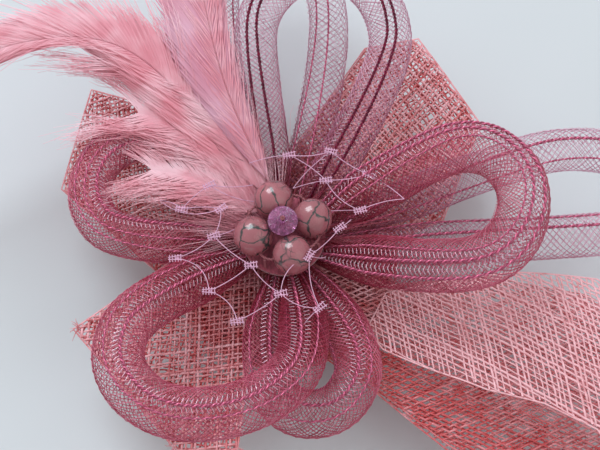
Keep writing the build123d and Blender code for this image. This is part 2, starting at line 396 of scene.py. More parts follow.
def rung_tree():
    """A row of short slanted bars along a tube, where the braid opens beside a rib."""
    t = Maker(
        "Crin rungs", angle=1.5, drift=0.2, pitch=0.9 * MM, width=0.35, slant=0.5 * MM,
        thread_radius=0.085 * MM,
    )
    path = t.path()
    long = t.add("GeometryNodeCurveLength", {"Curve": path})
    lines, index, share = t.strands(long / t["pitch"], 4)
    along = (index + 0.5) * t["pitch"] / long + (share - 0.5) * t["slant"] / long
    turn = t["angle"] + t.sway(along) + (share - 0.5) * t["width"]
    point = t.on_tube(path, along, turn, BARS_LIFT)[0]
    return t.end(t.wires(t.place(lines, point), t["thread_radius"]))


def straw_weave_tree():
    """Flat threads woven over and under through a cut pattern, laid on the surface it was cut for."""
    t = Maker(
        "Straw weave", pitch=1.4 * MM, thread_width=0.45 * MM, thread_thickness=0.12 * MM, angle=0.0,
        skew=0.0, looseness=0.3,
    )
    vector, pitch, angle = "FLOAT_VECTOR", t["pitch"], t["angle"]
    surface = t.store(t["source"], "lie", t.add("GeometryNodeInputNormal"), vector)
    flat_map = t.attribute("flat", vector)
    side = FLAT_UNIT * PATTERN_MARGIN
    rows = t.combine("CEIL", side / pitch)
    lines, index, share = t.strands(rows * 2.0, rows * 2.0 + 1.0)
    weft, row = t.odd(index), t.pair(index)
    jitter = t.random(-0.5, 0.5, index) * t["looseness"]
    cell = t.combine("ROUND", share * rows * 2.0)
    drift = t.noise(t.xyz(share * 34.0, index * 3.7), 1.0, detail=2.0) - 0.5
    run = (share - 0.5) * side
    across = (row - rows * 0.5 + 0.5 + jitter + drift * t["looseness"] * 1.6) * pitch
    x = run * (1.0 - weft) + across * weft
    y = across * (1.0 - weft) + run * weft
    lean = angle + math.pi / 2 - t["skew"]
    warp_way = t.xyz(t.cos(angle), t.sin(angle))
    weft_way = t.xyz(t.cos(lean), t.sin(lean))
    pattern = warp_way * (x / FLAT_UNIT) + weft_way * (y / FLAT_UNIT) + (0.5, 0.5, 0.0)
    over = t.cos((cell * 0.5 + row + weft - rows * 0.5) * math.pi) * t["thread_thickness"] * 1.7

    def lay(value, data_type=vector):
        values = {"Mesh": surface, "Value": value, "UV Map": flat_map, "Sample UV": pattern}
        return t.add("GeometryNodeSampleUVSurface", values, data_type=data_type)

    position = lay(t.add("GeometryNodeInputPosition"))
    kept = {"A": t.random(0.0, 1.0, index, 13), "B": DROPPED_THREADS}
    kept = t.add("FunctionNodeCompare", kept, data_type="FLOAT", operation="GREATER_THAN")
    found = t.add("FunctionNodeBooleanMath", {0: t.also(position, "Is Valid"), 1: kept}, operation="AND")
    normal = lay(t.attribute("lie", vector))
    # Painted light and shade: the surface's painted light lifts the tone of threads on upper and front layers
    # and leaves those on lower and back layers darker.
    tone = t.random(0.1, 0.45, index, 5) + lay(t.attribute("painted_light"), "FLOAT") * 0.6
    lines = t.store(lines, "lie", normal, vector)
    lines = t.store(lines, "tone", tone)
    lines = t.store(lines, "breadth", t.random(0.6, 1.3, index, 9))
    lines = t.store(lines, "found", found, "BOOLEAN")
    lines = t.place(lines, position + normal * over)
    chain = t.add("GeometryNodeCurveToMesh", {"Curve": lines})
    outside = t.add("FunctionNodeBooleanMath", {0: t.attribute("found", "BOOLEAN")}, operation="NOT")
    chain = t.add("GeometryNodeDeleteGeometry", {"Geometry": chain, "Selection": outside}, domain="POINT")
    rim = {"A": t.add("GeometryNodeInputMeshEdgeNeighbors"), "B": 1}
    rim = t.lines(surface, Selection=t.add("FunctionNodeCompare", rim, data_type="INT", operation="EQUAL"))
    # The rim's tone carries the same painted light and shade.
    rim = t.store(t.store(rim, "tone", t.attribute("painted_light") * 0.4 + 0.4), "breadth", 0.9)
    threads = t.face(t.join(t.lines(chain), rim), t.attribute("lie", vector))
    return t.end(t.ribbons(threads, t["thread_thickness"], t["thread_width"], t.attribute("breadth")))


def feather_tree():
    """Barbs down both sides of a quill, and the quill itself."""
    t = Maker(
        "Feather", barbs=300, steps=9, barb_radius=0.09 * MM, barb_thickness=0.05 * MM, quill_radius=0.3 * MM,
        forward=0.8, curl=0.35, droop=0.15, stray=0.12, cup=0.2, overlap=0.3,
    )
    path = t.path()
    lines, index, share = t.strands(t["barbs"] * 2, t["steps"])
    side = t.odd(index) * 2.0 - 1.0
    number = t.pair(index) + t.random(0.0, 1.0, index)
    along = number / t["barbs"] * 0.985 + 0.01
    reach, root, ahead, level = t.path_at(path, along, t.attribute("reach", "FLOAT_VECTOR"), "FLOAT_VECTOR")
    parts = t.raw("ShaderNodeSeparateXYZ")
    t.feed(parts.inputs[0], reach)
    left, right, fluff = (Wire(t, output) for output in parts.outputs)
    length = (left * (1.0 - side) + right * (1.0 + side)) * 0.5
    length = length * t.random(0.82, 1.08, index, 3)
    clump = t.wander(along * 30.0, side * 9.0, t["seed"] * 1.7, 3.0)
    stray = t.wander(index * 0.73, share * 1.4, t["seed"] * 3.1, 2.0)
    upward = t.combine("NORMALIZE", t.cross(level, ahead))
    forward = t["forward"] * (1.0 + t.random(-1.0, 1.0, index, 11) * t["stray"])
    outward = level * (side * t.sin(forward))
    bend = share ** 2.0
    onward = ahead * (length * (t.cos(forward) * share + t["curl"] * bend))
    point = root + outward * (length * share) + onward
    point = point + upward * (length * (t["cup"] * share - (t["cup"] + t["droop"]) * bend))
    point = point + clump * (length * bend * (t["stray"] + fluff * 0.8) * 2.0)
    point = point + stray * (length * bend * (t["stray"] * 0.5 + fluff) * 1.6)
    lines = t.face(t.place(lines, point), t.combine("NORMALIZE", upward + ahead * t["overlap"]))
    barbs = t.ribbons(lines, t["barb_thickness"], t["barb_radius"] * 2.0, 1.0 - share * 0.7)
    stem_share = t.add("GeometryNodeSplineParameter")
    quill = t.wires(t.resample(path, 60), t["quill_radius"], sides=6, scale=1.0 - stem_share * 0.82)
    return t.end(t.join(t.shade(barbs, False), t.shade(quill, True)), smooth=None)


def plume_tree():
    """Fine curved barbs that spread from a ring."""
    t = Maker(
        "Plume barbs", barbs=400, steps=10, barb_radius=0.05 * MM, ring_radius=4.0 * MM,
        centre=(0.0, 0.0, 0.0), short=14.0 * MM, long=34.0 * MM, first_turn=0.0, last_turn=TAU, rise=0.25,
        droop=0.25, stray=0.3,
    )
    lines, index, share = t.strands(t["barbs"], t["steps"])
    turn = t.random(0.0, 1.0, index) * (t["last_turn"] - t["first_turn"]) + t["first_turn"]
    way = turn + t.random(-0.35, 0.35, index, 1)
    long = t["short"] + t.random(0.0, 1.0, index, 2) ** 1.6 * (t["long"] - t["short"])
    ring = t["ring_radius"] * t.random(0.4, 1.0, index, 3)
    root = t["centre"] + t.xyz(t.cos(turn) * ring, t.sin(turn) * ring, t.random(0.0, 0.8 * MM, index, 4))
    rise = t["rise"] * t.random(0.3, 1.5, index, 6)
    bend = share ** 2.0
    reach = t.xyz(t.cos(way) * share, t.sin(way) * share, rise * share - t["droop"] * bend)
    stray = t.wander(index * 0.61, share * 1.3, t["seed"] * 2.3, 2.0)
    point = root + reach * long + stray * (long * bend * t["stray"] * 2.0)
    lines = t.store(t.place(lines, point), "tone", t.random(0.4, 1.0, index, 8))
    return t.end(t.wires(lines, t["barb_radius"], scale=1.0 - share * 0.6))


def thread_tree():
    """A two-ply twisted thread along each line of the source."""
    t = Maker("Twisted thread", thread_radius=0.2 * MM, twist_length=1.2 * MM)
    spacing = {"Curve": t.lines(), "Length": t["twist_length"] / 6.0}
    two, ply = t.copies(t.add("GeometryNodeResampleCurve", spacing, mode="LENGTH"), 2)
    along = t.also(t.add("GeometryNodeSplineParameter"), "Length")
    phase = along / t["twist_length"] * TAU + ply * math.pi
    level = t.add("GeometryNodeInputNormal")
    beside = t.cross(t.add("GeometryNodeInputTangent"), level)
    arm = t["thread_radius"] * 0.46
    offset = level * (t.cos(phase) * arm) + beside * (t.sin(phase) * arm)
    two = t.add("GeometryNodeSetPosition", {"Geometry": two, "Offset": offset})
    return t.end(t.wires(two, t["thread_radius"] * 0.54, sides=6))


def round_wire_tree():
    """Plain round wire along each line of the source."""
    t = Maker("Round wire", wire_radius=0.25 * MM)
    return t.end(t.wires(t.lines(), t["wire_radius"], sides=10))


def wound_tree():
    """A wire or thread wound round a bar."""
    t = Maker(
        "Wound thread", turns=12.0, coil_radius=3.4 * MM, thread_radius=0.3 * MM, length=7.0 * MM,
        unevenness=0.0, centre=(0.0, 0.0, 0.0), axis=(0.0, 0.0, 1.0),
    )
    lines, _, share = t.strands(1, t["turns"] * COIL_STEPS)
    turn = share * t["turns"] * TAU
    first = t.combine("NORMALIZE", t.cross(t["axis"], (0.61, 0.33, 0.17)))
    second = t.cross(t["axis"], first)
    uneven = (t.noise(t.xyz(turn * 0.21), 1.0, detail=2.0) - 0.5) * t["unevenness"]
    reach = t["coil_radius"] * (1.0 + uneven)
    rise = (share - 0.5) * t["length"] + uneven * t["thread_radius"] * 4.0
    point = t["centre"] + t["axis"] * rise + first * (reach * t.cos(turn)) + second * (reach * t.sin(turn))
    return t.end(t.wires(t.place(lines, point), t["thread_radius"], sides=8))


def net_tree():
    """Fine threads along the source's lines, with a small ladder at each marked knot."""
    t = Maker("Veil net", thread_radius=0.15 * MM, knot_width=2.2 * MM, knot_height=1.5 * MM, bars=5)
    width, height = t["knot_width"], t["knot_height"]

    def line(start, end):
        return t.add("GeometryNodeCurvePrimitiveLine", {"Start": start, "End": end})

    threads = t.wires(t.lines(), t["thread_radius"], sides=5)
    row = {"Start Location": t.xyz(width * -0.5), "Offset": t.xyz(width / (t["bars"] - 1.0))}
    row = t.add("GeometryNodeMeshLine", {"Count": t["bars"], **row}, mode="OFFSET")
    bar = line(t.xyz(y=height * -0.5), t.xyz(y=height * 0.5))
    rungs = t.add("GeometryNodeInstanceOnPoints", {"Points": row, "Instance": bar})
    rungs = t.add("GeometryNodeRealizeInstances", {"Geometry": rungs})
    overhang, front = 0.62, 0.1 * MM
    rails = [
        line(t.xyz(width * -overhang, level * 0.4, front), t.xyz(width * overhang, level, front))
        for level in (height * -0.32, height * 0.32)
    ]
    ladder = t.wires(t.join(rungs, *rails), t["thread_radius"] * 1.15, sides=5)
    knots = {"Mesh": t["source"], "Selection": t.attribute("knot", "BOOLEAN")}
    knots = t.add("GeometryNodeMeshToPoints", knots)
    ladders = {"Points": knots, "Instance": ladder, "Rotation": t.xyz(z=t.attribute("turn"))}
    return t.end(t.join(threads, t.add("GeometryNodeInstanceOnPoints", ladders)))


# ------------------------------------------------------------------ plain geometry
def link_object(name, data):
    """An object with this data, in the scene."""
    obj = bpy.data.objects.new(name, data)
    bpy.context.scene.collection.objects.link(obj)
    return obj


def new_mesh(name, verts, edges, faces):
    mesh = bpy.data.meshes.new(name)
    mesh.from_pydata(verts, edges, faces)
    return mesh


def clamp(value):
    """The value, held between 0 and 1."""
    return max(0.0, min(1.0, value))


def compass(degrees):
    """The cosine and the sine of an angle in degrees."""
    return math.cos(math.radians(degrees)), math.sin(math.radians(degrees))


def shaded(color, factor):
    """A colour made darker or lighter."""
    return [min(1, c * factor) for c in color]


def smooth_points(corners, count):
    """Evenly spaced points in metres on the smooth spline that rounds these corners in millimetres."""
    curve = bpy.data.curves.new("route", "CURVE")
    curve.dimensions = "3D"
    curve.resolution_u = 24
    spline = curve.splines.new("NURBS")
    spline.points.add(len(corners) - 1)
    for point, corner in zip(spline.points, corners):
        point.co = (*(c * MM for c in corner), 1.0)
    spline.order_u = 3
    spline.use_endpoint_u = True
    obj = link_object("route", curve)
    deps = bpy.context.evaluated_depsgraph_get()
    mesh = bpy.data.meshes.new_from_object(obj.evaluated_get(deps))
    raw = np.array([v.co for v in mesh.vertices])
    bpy.data.objects.remove(obj)
    bpy.data.curves.remove(curve)
    bpy.data.meshes.remove(mesh)
    gaps = np.r_[0, np.cumsum(np.linalg.norm(np.diff(raw, axis=0), axis=1))]
    places = np.linspace(0, gaps[-1], count)
    return np.stack([np.interp(places, gaps, raw[:, k]) for k in range(3)], axis=1)


def line_mesh(name, runs, **values):
    """A mesh of edges along each run of points, with named numbers or vectors on its points."""
    verts = [tuple(p) for run in runs for p in run]
    edges, first = [], 0
    for run in runs:
        edges += [(first + k, first + k + 1) for k in range(len(run) - 1)]
        first += len(run)
    mesh = new_mesh(name, verts, edges, [])
    for key, column in values.items():
        put_attribute(mesh, key, column)
    return mesh


def put_attribute(mesh, key, column):
    """A named point attribute from a column of numbers, flags or vectors."""
    column = np.asarray(column)
    kind, field = ("FLOAT_VECTOR", "vector") if column.ndim == 2 else ("FLOAT", "value")
    if column.dtype == bool:
        kind = "BOOLEAN"
    else:
        column = column.astype(np.float32)
    mesh.attributes.new(key, kind, "POINT").data.foreach_set(field, column.ravel())


def seed_point():
    """A speck of a source, for the trees that read none."""
    return line_mesh("seed", [[(0, 0, 0), (0, 0, MM)]])


def lathe(name, material, profile, segments, axis=(0, 0, 1), centre=(0, 0, 0), smooth=True, twist=None):
    """A closed profile of (radius, height) in millimetres, turned about an axis through the centre."""
    place = Vector((0, 0, 1)).rotation_difference(Vector(axis)).to_matrix().to_4x4()
    place.translation = Vector(centre) * MM
    rows = len(profile)
    verts, faces = [], []
    for k, (radius, height) in enumerate(profile):
        row, after = k * segments, (k + 1) % rows * segments
        for s in range(segments):
            angle = TAU * (s + (twist[k] if twist else 0.0)) / segments
            verts.append(place @ (Vector((radius * math.cos(angle), radius * math.sin(angle), height)) * MM))
            beside = (s + 1) % segments
            faces.append((row + s, row + beside, after + beside, after + s))
    mesh = new_mesh(name, verts, [], faces)
    mesh.polygons.foreach_set("use_smooth", [smooth] * len(faces))
    mesh.materials.append(material)
    return link_object(name, mesh)


def cloth_patch(name, patches, spacing=2.0):
    """The surface that woven cloth lies on. Each patch is an outline in flat millimetres, a rule that lays
    a flat point in space in millimetres, its place on the cut pattern (the middle that it turns about,
    where that goes, and the turn in degrees), and a rule for its painted light and shade, from 0 to 1."""
    verts, faces, flats, painted_lights = [], [], [], []
    for outline, rule, (middle, goal, turn), painted_light in patches:
        cosine, sine = compass(turn)
        ring = []
        for (ax, ay), (bx, by) in zip(outline, outline[1:] + outline[:1]):
            steps = max(1, round(math.hypot(bx - ax, by - ay) / spacing))
            ring += [(ax + (bx - ax) * k / steps, ay + (by - ay) * k / steps) for k in range(steps)]
        low, high = np.min(ring, axis=0), np.max(ring, axis=0)
        grid = [
            (x, y)
            for x in np.arange(low[0] + spacing / 2, high[0], spacing)
            for y in np.arange(low[1] + spacing / 2, high[1], spacing)
            if min(math.hypot(x - a, y - b) for a, b in ring) > spacing * 0.45
        ]
        points = [Vector(p) for p in ring + grid]
        loop = [(k, (k + 1) % len(ring)) for k in range(len(ring))]
        found, _, triangles, *_ = delaunay_2d_cdt(points, loop, [], 1, 1e-6)
        first = len(verts)
        for p in found:
            verts.append(Vector(rule(p.x, p.y)) * MM)
            painted_lights.append(float(painted_light(p.x, p.y)))
            x, y = p.x - middle[0], p.y - middle[1]
            u, v = goal[0] + x * cosine - y * sine, goal[1] + x * sine + y * cosine
            flats.append((u * MM / FLAT_UNIT + 0.5, v * MM / FLAT_UNIT + 0.5, 0.0))
        faces += [tuple(first + k for k in t) for t in triangles]
    mesh = new_mesh(name, verts, [], faces)
    put_attribute(mesh, "flat", flats)
    put_attribute(mesh, "painted_light", painted_lights)
    return mesh


def join_pieces(name, pieces):
    """Several plain meshes as one piece."""
    if len(pieces) > 1:
        chosen = dict(selected_editable_objects=pieces, selected_objects=pieces)
        with bpy.context.temp_override(active_object=pieces[0], object=pieces[0], **chosen):
            bpy.ops.object.join()
    pieces[0].name = name
    pieces[0].data.name = name
    return pieces[0]


def fit_out(piece, body, slot, *nodes):
    """Puts a finished piece on its body, in place of its CAD nodes."""
    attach(piece, body)
    if nodes:
        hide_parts(*nodes)
    return piece


# ------------------------------------------------------------------ finishes
class Finish(Tree):
    """A procedural material round one principled shader."""

    def __init__(self, name, **sockets):
        self.material = bpy.data.materials.new(name)
        self.material.use_nodes = True
        tree = self.material.node_tree
        super().__init__(tree.nodes, tree.links)
        self.shader = tree.nodes["Principled BSDF"]
        for key, value in sockets.items():
            self.shader.inputs[key.replace("_", " ")].default_value = value
        self.place = self.add("ShaderNodeTexCoord", out="Object")

    def noise(self, scale, detail=3.0, stretch=None, out=0):
        """Noise in the object's own space, with a scale in cells per metre."""
        vector = self.place
        if stretch:
            vector = self.add("ShaderNodeMapping", {"Vector": vector, "Scale": stretch})
        return self.add("ShaderNodeTexNoise", {"Vector": vector, "Scale": scale, "Detail": detail}, out=out)

    def cracks(self, vector, scale):
        """The distance to the nearest edge between cells."""
        values = {"Vector": vector, "Scale": scale}
        return self.add("ShaderNodeTexVoronoi", values, out="Distance", feature="DISTANCE_TO_EDGE")

    def ramp(self, factor, *stops):
        """Colours at places between 0 and 1."""
        node = self.raw("ShaderNodeValToRGB")
        ramp = node.color_ramp
        while len(ramp.elements) < len(stops):
            ramp.elements.new(0.5)
        for element, (at, color) in zip(ramp.elements, stops):
            element.position = at
            element.color = (*color, 1.0)
        self.feed(node.inputs[0], factor)
        return Wire(self, node.outputs[0])

    def mix(self, factor, a, b):
        node = self.raw("ShaderNodeMix", data_type="RGBA")
        for key, value in ((0, factor), (6, a), (7, b)):
            self.feed(node.inputs[key], value if isinstance(value, Wire) or key == 0 else (*value, 1.0))
        return Wire(self, node.outputs[2])

    def color(self, wire):
        self.links.new(wire.socket, self.shader.inputs["Base Color"])

    def rough(self, wire, low, high):
        self.links.new(self.map_range(wire, 0.3, 0.7, low, high).socket, self.shader.inputs["Roughness"])

    def bump(self, height, distance, strength=0.6):
        node = self.raw("ShaderNodeBump")
        node.inputs["Strength"].default_value = strength
        node.inputs["Distance"].default_value = distance
        self.feed(node.inputs["Height"], height)
        self.links.new(node.outputs[0], self.shader.inputs["Normal"])


def strand_finish(name, deep, light, roughness, scale=900.0, attribute=None, core=None, **sockets):
    """A dyed thread or barb that shifts between two tones, and to painted shade in the core colour where its
    own tone is lowest.
    """
    f = Finish(name, Roughness=roughness, **sockets)
    tone = f.noise(scale, 2.0)
    if attribute:
        own = f.add("ShaderNodeAttribute", out="Fac", attribute_name=attribute)
        tone = tone * 0.5 + own * 0.5
    # The core stop is painted shade.
    f.color(f.ramp(tone, *([(0.24, core)] if core else []), (0.4, deep), (0.72, light)))
    f.rough(f.noise(scale * 0.5, 1.0), roughness * 0.85, min(1.0, roughness * 1.2))
    f.bump(f.noise(scale * 5.0, 2.0), 0.02 * MM)
    return f.material


def stone_finish(name, body, vein):
    """A polished dyed stone with thin dark cracks."""
    f = Finish(name, Roughness=0.24, Coat_Weight=0.7, Coat_Roughness=0.09)
    bend = 4.2 * MM
    bent = f.place + (f.noise(260.0, out="Color") - (0.5, 0.5, 0.5)) * bend
    where = f.map_range(f.noise(190.0, 2.0), 0.38, 0.5, 0.0, 1.0)
    main = f.map_range(f.cracks(bent, 210.0), 0.014, 0.06, 1.0, 0.0)
    small_where = f.map_range(f.noise(160.0, 1.0), 0.52, 0.62, 0.0, 1.0)
    small = f.map_range(f.cracks(bent, 430.0), 0.01, 0.06, 0.7, 0.0) * small_where
    marks = f.combine("MAXIMUM", main * where, small)
    cloud = f.ramp(f.noise(130.0, 4.0), (0.35, shaded(body, 0.82)), (0.65, shaded(body, 1.1)))
    f.color(f.mix(marks, cloud, vein))
    f.rough(f.noise(700.0), 0.18, 0.32)
    f.bump(1.0 - marks, 0.03 * MM, 0.5)
    return f.material


def metal_finish(name, color, roughness):
    """Brushed plated steel."""
    f = Finish(name, Metallic=1.0, Roughness=roughness)
    grain = f.noise(900.0, 4.0, stretch=(0.06, 1.0, 1.0))
    f.color(f.ramp(grain, (0.3, shaded(color, 0.8)), (0.7, color)))
    f.rough(grain, roughness * 0.7, roughness * 1.4)
    f.bump(grain, 0.01 * MM)
    return f.material


def felt_finish(name, deep, light):
    """Pressed wool felt."""
    f = Finish(name, Roughness=0.95, Sheen_Weight=0.5, Sheen_Roughness=0.6)
    fibre = f.noise(2600.0, 6.0, stretch=(1.0, 0.45, 1.0))
    f.color(f.ramp(fibre, (0.35, deep), (0.65, light)))
    f.bump(fibre, 0.12 * MM, 0.9)
    return f.material


def crystal_finish(name, color):
    """Clear tinted cut glass."""
    shine = dict(Roughness=0.02, IOR=1.65, Specular_IOR_Level=1.0, Coat_Weight=1.0)
    f = Finish(name, Transmission_Weight=0.72, **shine)
    f.color(f.ramp(f.noise(420.0, 2.0), (0.3, shaded(color, 0.7)), (0.7, color)))
    return f.material


# ------------------------------------------------------------------ sizes and colours a maker would change
def color_property(name, text, default):
    look = dict(size=3, subtype="COLOR", min=0.0, max=1.0)
    return FloatVectorProperty(name=name, description=text, default=default, **look)


def size_property(name, text, default):
    look = dict(min=0.0, unit="LENGTH", subtype="DISTANCE", precision=5)
    return FloatProperty(name=name, description=text, default=default * MM, **look)


def number_property(name, text, default):
    return FloatProperty(name=name, description=text, default=default, min=0.0)


class StageSettings(bpy.types.PropertyGroup):
    """Floor, light and camera."""

    floor: color_property("Floor", "Colour of the pale floor", (0.68, 0.725, 0.755))
    drop: size_property("Drop", "How far the floor lies below the lowest part", 0.3)
    key: number_property("Window light", "Power of the big soft light in watts", 3.7)
    fill: number_property("Sky light", "Strength of the light from all round", 0.62)
    lens: FloatProperty(name="Lens", description="Focal length", default=75.0, min=1.0, unit="CAMERA")


class CrinSettings(bpy.types.PropertyGroup):
    """Braided crin tubes."""

    deep: color_property("Deep crin", "Darker tone of the strands", (0.44, 0.032, 0.085))
    light: color_property("Light crin", "Lighter tone of the strands", (0.80, 0.21, 0.32))
    # Painted shade: this dark hub tone stands in for the shade where the tubes gather into the hub.
    core: color_property("Painted hub shade", "Tone of the strands at the hub", (0.24, 0.006, 0.022))
    open_deep: color_property("Deep open crin", "Darker tone of the thinner loops", (0.60, 0.20, 0.33))
    open_light: color_property("Light open crin", "Lighter tone of the thinner loops", (0.90, 0.60, 0.74))
    rib: color_property("Rib", "Colour of the metallic cord", (0.88, 0.21, 0.37))
    rib_r: size_property("Rib thread radius", "Radius of each of the two threads of the main ribs", 0.19)
    strands: IntProperty(name="Strands", description="Strands wound each way round a tube", default=28, min=8)
    strand_r: size_property("Strand radius", "Radius of one strand", 0.08)
    softness: number_property("Softness", "How far the tube's wall dents in and out", 0.06)


class StrawSettings(bpy.types.PropertyGroup):
    """Woven straw cloth."""

    deep: color_property("Deep straw", "Darker tone of the threads", (0.66, 0.09, 0.10))
    light: color_property("Light straw", "Lighter tone of the threads", (1.0, 0.55, 0.60))
    pitch: size_property("Pitch", "Distance between threads", 1.0)
    width: size_property("Thread width", "Width of one flat thread", 0.38)
    looseness: number_property("Looseness", "How unevenly the threads lie, in pitches", 0.5)
    thickness: size_property("Thread thickness", "Thickness of one flat thread", 0.12)


class FeatherSettings(bpy.types.PropertyGroup):
    """Feathers and fluff."""

    deep: color_property("Deep feather", "Darker tone of the barbs", (0.86, 0.34, 0.42))
    light: color_property("Light feather", "Lighter tone of the barbs", (1.0, 0.66, 0.74))
    barb_r: size_property("Barb radius", "Half the width of a barb at its root", 0.26)
    satin_deep: color_property("Deep satin", "Darker tone of the upright feather", (0.70, 0.27, 0.38))
    satin_light: color_property("Light satin", "Lighter tone of the upright feather", (0.82, 0.47, 0.61))
    # Painted shade: the down is dark crimson to stand in for the shade round the beads at the hub.
    down: color_property("Down", "Colour of the short down round the beads", (0.60, 0.09, 0.15))
    barbs: IntProperty(name="Barbs", description="Barbs on each side of a quill", default=460, min=10)


class VeilSettings(bpy.types.PropertyGroup):
    """Net veil."""

    color: color_property("Net", "Colour of the net's thread", (0.84, 0.48, 0.68))
    thread_r: size_property("Thread radius", "Radius of the net's thread", 0.09)


class BeadSettings(bpy.types.PropertyGroup):
    """Stone beads, crystal and their threads."""

    stone: color_property("Stone", "Colour of the stone beads", (0.40, 0.13, 0.155))
    vein: color_property("Vein", "Colour of the cracks in the stone", (0.035, 0.045, 0.045))
    crystal: color_property("Crystal", "Colour of the faceted bead", (0.86, 0.34, 0.72))


class ClipSettings(bpy.types.PropertyGroup):
    """Hair clip and felt base."""

    steel: color_property("Steel", "Colour of the plated steel", (0.62, 0.61, 0.60))
    felt: color_property("Felt", "Colour of the felt", (0.34, 0.06, 0.10))
    thread: color_property("Thread", "Colour of the sewing thread", (0.42, 0.08, 0.15))


# ------------------------------------------------------------------ shapes of this headpiece
# All in millimetres: the stalk that the tubes are bound into, a tube's gathered tip, and a tip's taper.
STALK_R = 3.8
TIP_R = 0.9
TAPER = 16.0
# Crin loops: the tube's diameter, the height of its sewn tips, and the corners of its centre line.
CRIN_LOOPS = {
    "crin_loop_top": (9.0, 16.5, [(-6, 34, 26), (-6, 51, 29), (9, 61, 31), (22, 51, 29), (23, 34, 26)]),
    "crin_loop_rear": (8.6, 14.7, [(-12, 26, 15.4), (-16, 68, 18), (-4, 80, 19), (8, 70, 18), (11, 42, 16)]),
    "crin_loop_left": (8.8, 16.5, [(-26, 24, 21), (-38, 19, 22), (-41, 7, 22), (-33, -2, 21)]),
    "crin_loop_lower_left": (
        10.0, 16.5, [(-28, -14, 25), (-33, -29, 29), (-22, -40, 31), (-4, -38, 31), (7, -24, 24)],
    ),
    "crin_loop_bottom": (9.4, 16.5, [(-5, -23, 17), (0, -36, 18), (12, -36, 18.5), (17, -22, 18)]),
    "crin_loop_right": (10.4, 16.5, [(27, 15, 27), (41, 17, 31), (49, 5, 33), (43, -9, 32), (28, -9, 26)]),
    "crin_loop_far_right": (9.0, 14.7, [(48, 20, 17), (66, 22, 18), (79, 16, 19), (78, 4, 19), (65, 1, 18)]),
}
# Ribs of each loop: degrees round the tube from its level side, rows of bars beside it, and its colour.
RIBS = {
    "crin_loop_top": [(82, 1, "deep"), (106, 0, "deep")],
    "crin_loop_rear": [(95, 0, "bright"), (50, 0, "bright")],
    "crin_loop_left": [(52, 0, "bright"), (86, 0, "bright"), (122, 2, "bright")],
    "crin_loop_lower_left": [(98, 2, "bright"), (64, 0, "bright")],
    "crin_loop_bottom": [(96, 2, "bright"), (55, 0, "bright"), (150, 0, "bright")],
    "crin_loop_right": [(82, 0, "bright"), (105, 2, "bright"), (134, 1, "bright")],
    "crin_loop_far_right": [(90, 1, "bright"), (45, 0, "bright")],
}
# The share of the strands that the thinner loops have.
OPEN_BRAIDS = {"crin_loop_top": 0.75, "crin_loop_rear": 0.54, "crin_loop_far_right": 0.64}
# Straw leaves: outline, heading in degrees that it lifts along, how far it lifts, and the turn of its weave.
LEAVES = {
    "sinamay_leaf_upper_left": ([(5, 3), (-20, 33), (-43, 39), (-48, 15), (-26, -4), (-2, -6)], 155, 3.0, 28),
    "sinamay_leaf_upper_right": (
        [(-5, 3), (0, 22), (18, 49), (30, 51), (43, 30), (34, 8), (4, -6)], 52, 3.0, 52,
    ),
    "sinamay_leaf_lower_left": (
        [(6, 1), (-24, -2), (-43, -17), (-21, -42), (-9, -42), (-7, -24), (3, -6)], 225, 2.0, 8,
    ),
}
# The open straw loop: its heading in degrees, and its route from the root out, up round the fold and back.
BIG_LOOP_HEADING = -28.0
BIG_LOOP_ROUTE = [
    (-6, 12.5), (11, 12.5), (22, 10.3), (50, 10.0), (80, 9.8), (85, 10.2),
    (85, 21.5), (78, 22.3), (62, 21.8), (46, 20.6), (34, 14.5), (22, 12.4),
]
# How far out along its heading, and how far across it, each edge of its two layers lies.
BIG_LOOP_LOWER = (
    [(-4, -4), (18, -16), (29, -17), (38, -19), (48, -21), (62, -22), (84, -17)],
    [(84, 20), (60, 22), (40, 16), (22, 4), (-4, 4)],
)
BIG_LOOP_UPPER = (
    [(84, -14), (78, -10), (72, -6.5), (61, -6.5), (50, -9), (40, -9.5), (28, -9.5), (23, -7)],
    [(23, 2), (34, 10), (45, 16), (60, 22), (84, 20)],
)
BIG_LOOP_FLOOR = 9.8  # the height that the loop never sinks below
LINING_GAP = 0.45  # how far the lining lies from the layer that it lines
# Frayed corners of each leaf: their place in millimetres, the way they point in degrees, and their threads.
FRAYS = {
    "sinamay_leaf_upper_left": [],
    "sinamay_leaf_upper_right": [((2.5, 24.0, 12.0), 150, 18)],
    "sinamay_leaf_lower_left": [
        ((-41.5, -17, 13.3), 200, 9), ((-20.5, -41.2, 13.3), 235, 20), ((-10, -41.4, 13.3), 290, 22),
    ],
}
# Feathers: quill corners, and by share of the quill the barbs' reach on each side and how downy they are.
FEATHERS = {
    "feather_left": {
        "quill": [
            (-7, 8, 23.2), (-17, 24, 27.5), (-29, 36.5, 31), (-40, 40.5, 32.5),
            (-52, 39, 33.5), (-64, 34, 34.5), (-76, 28, 35.2), (-86, 24, 35.8),
        ],
        "reach": [
            (0.0, 8, 4, 0.06), (0.12, 21, 9, 0.05), (0.25, 26, 12, 0.04), (0.4, 22, 12, 0.03),
            (0.55, 14, 12, 0.02), (0.7, 10, 12, 0.02), (0.85, 8, 9, 0.02), (1.0, 3, 4, 0.02),
        ],
        "wisps": [
            (0.0, 14, 10, 0.3), (0.2, 26, 30, 0.26), (0.5, 16, 33, 0.16),
            (0.75, 6, 20, 0.12), (1.0, 3, 5, 0.1),
        ],
        "forward": 0.47,
    },
    "feather_upright": {
        "quill": [
            (-3, 11, 24.5), (-9, 22, 28), (-14, 36, 30.5), (-17, 50, 32), (-20, 64, 34), (-21, 78, 35.5),
        ],
        "reach": [
            (0.0, 7, 5, 0.05), (0.15, 19, 11, 0.03), (0.35, 19, 14, 0.015),
            (0.55, 13, 18, 0.01), (0.75, 7, 22, 0.01), (1.0, 3, 10, 0.01),
        ],
        "wisps": [(0.0, 6, 10, 0.3), (0.2, 14, 16, 0.3), (0.5, 12, 16, 0.2), (1.0, 4, 8, 0.1)],
        "forward": 0.4,
    },
}
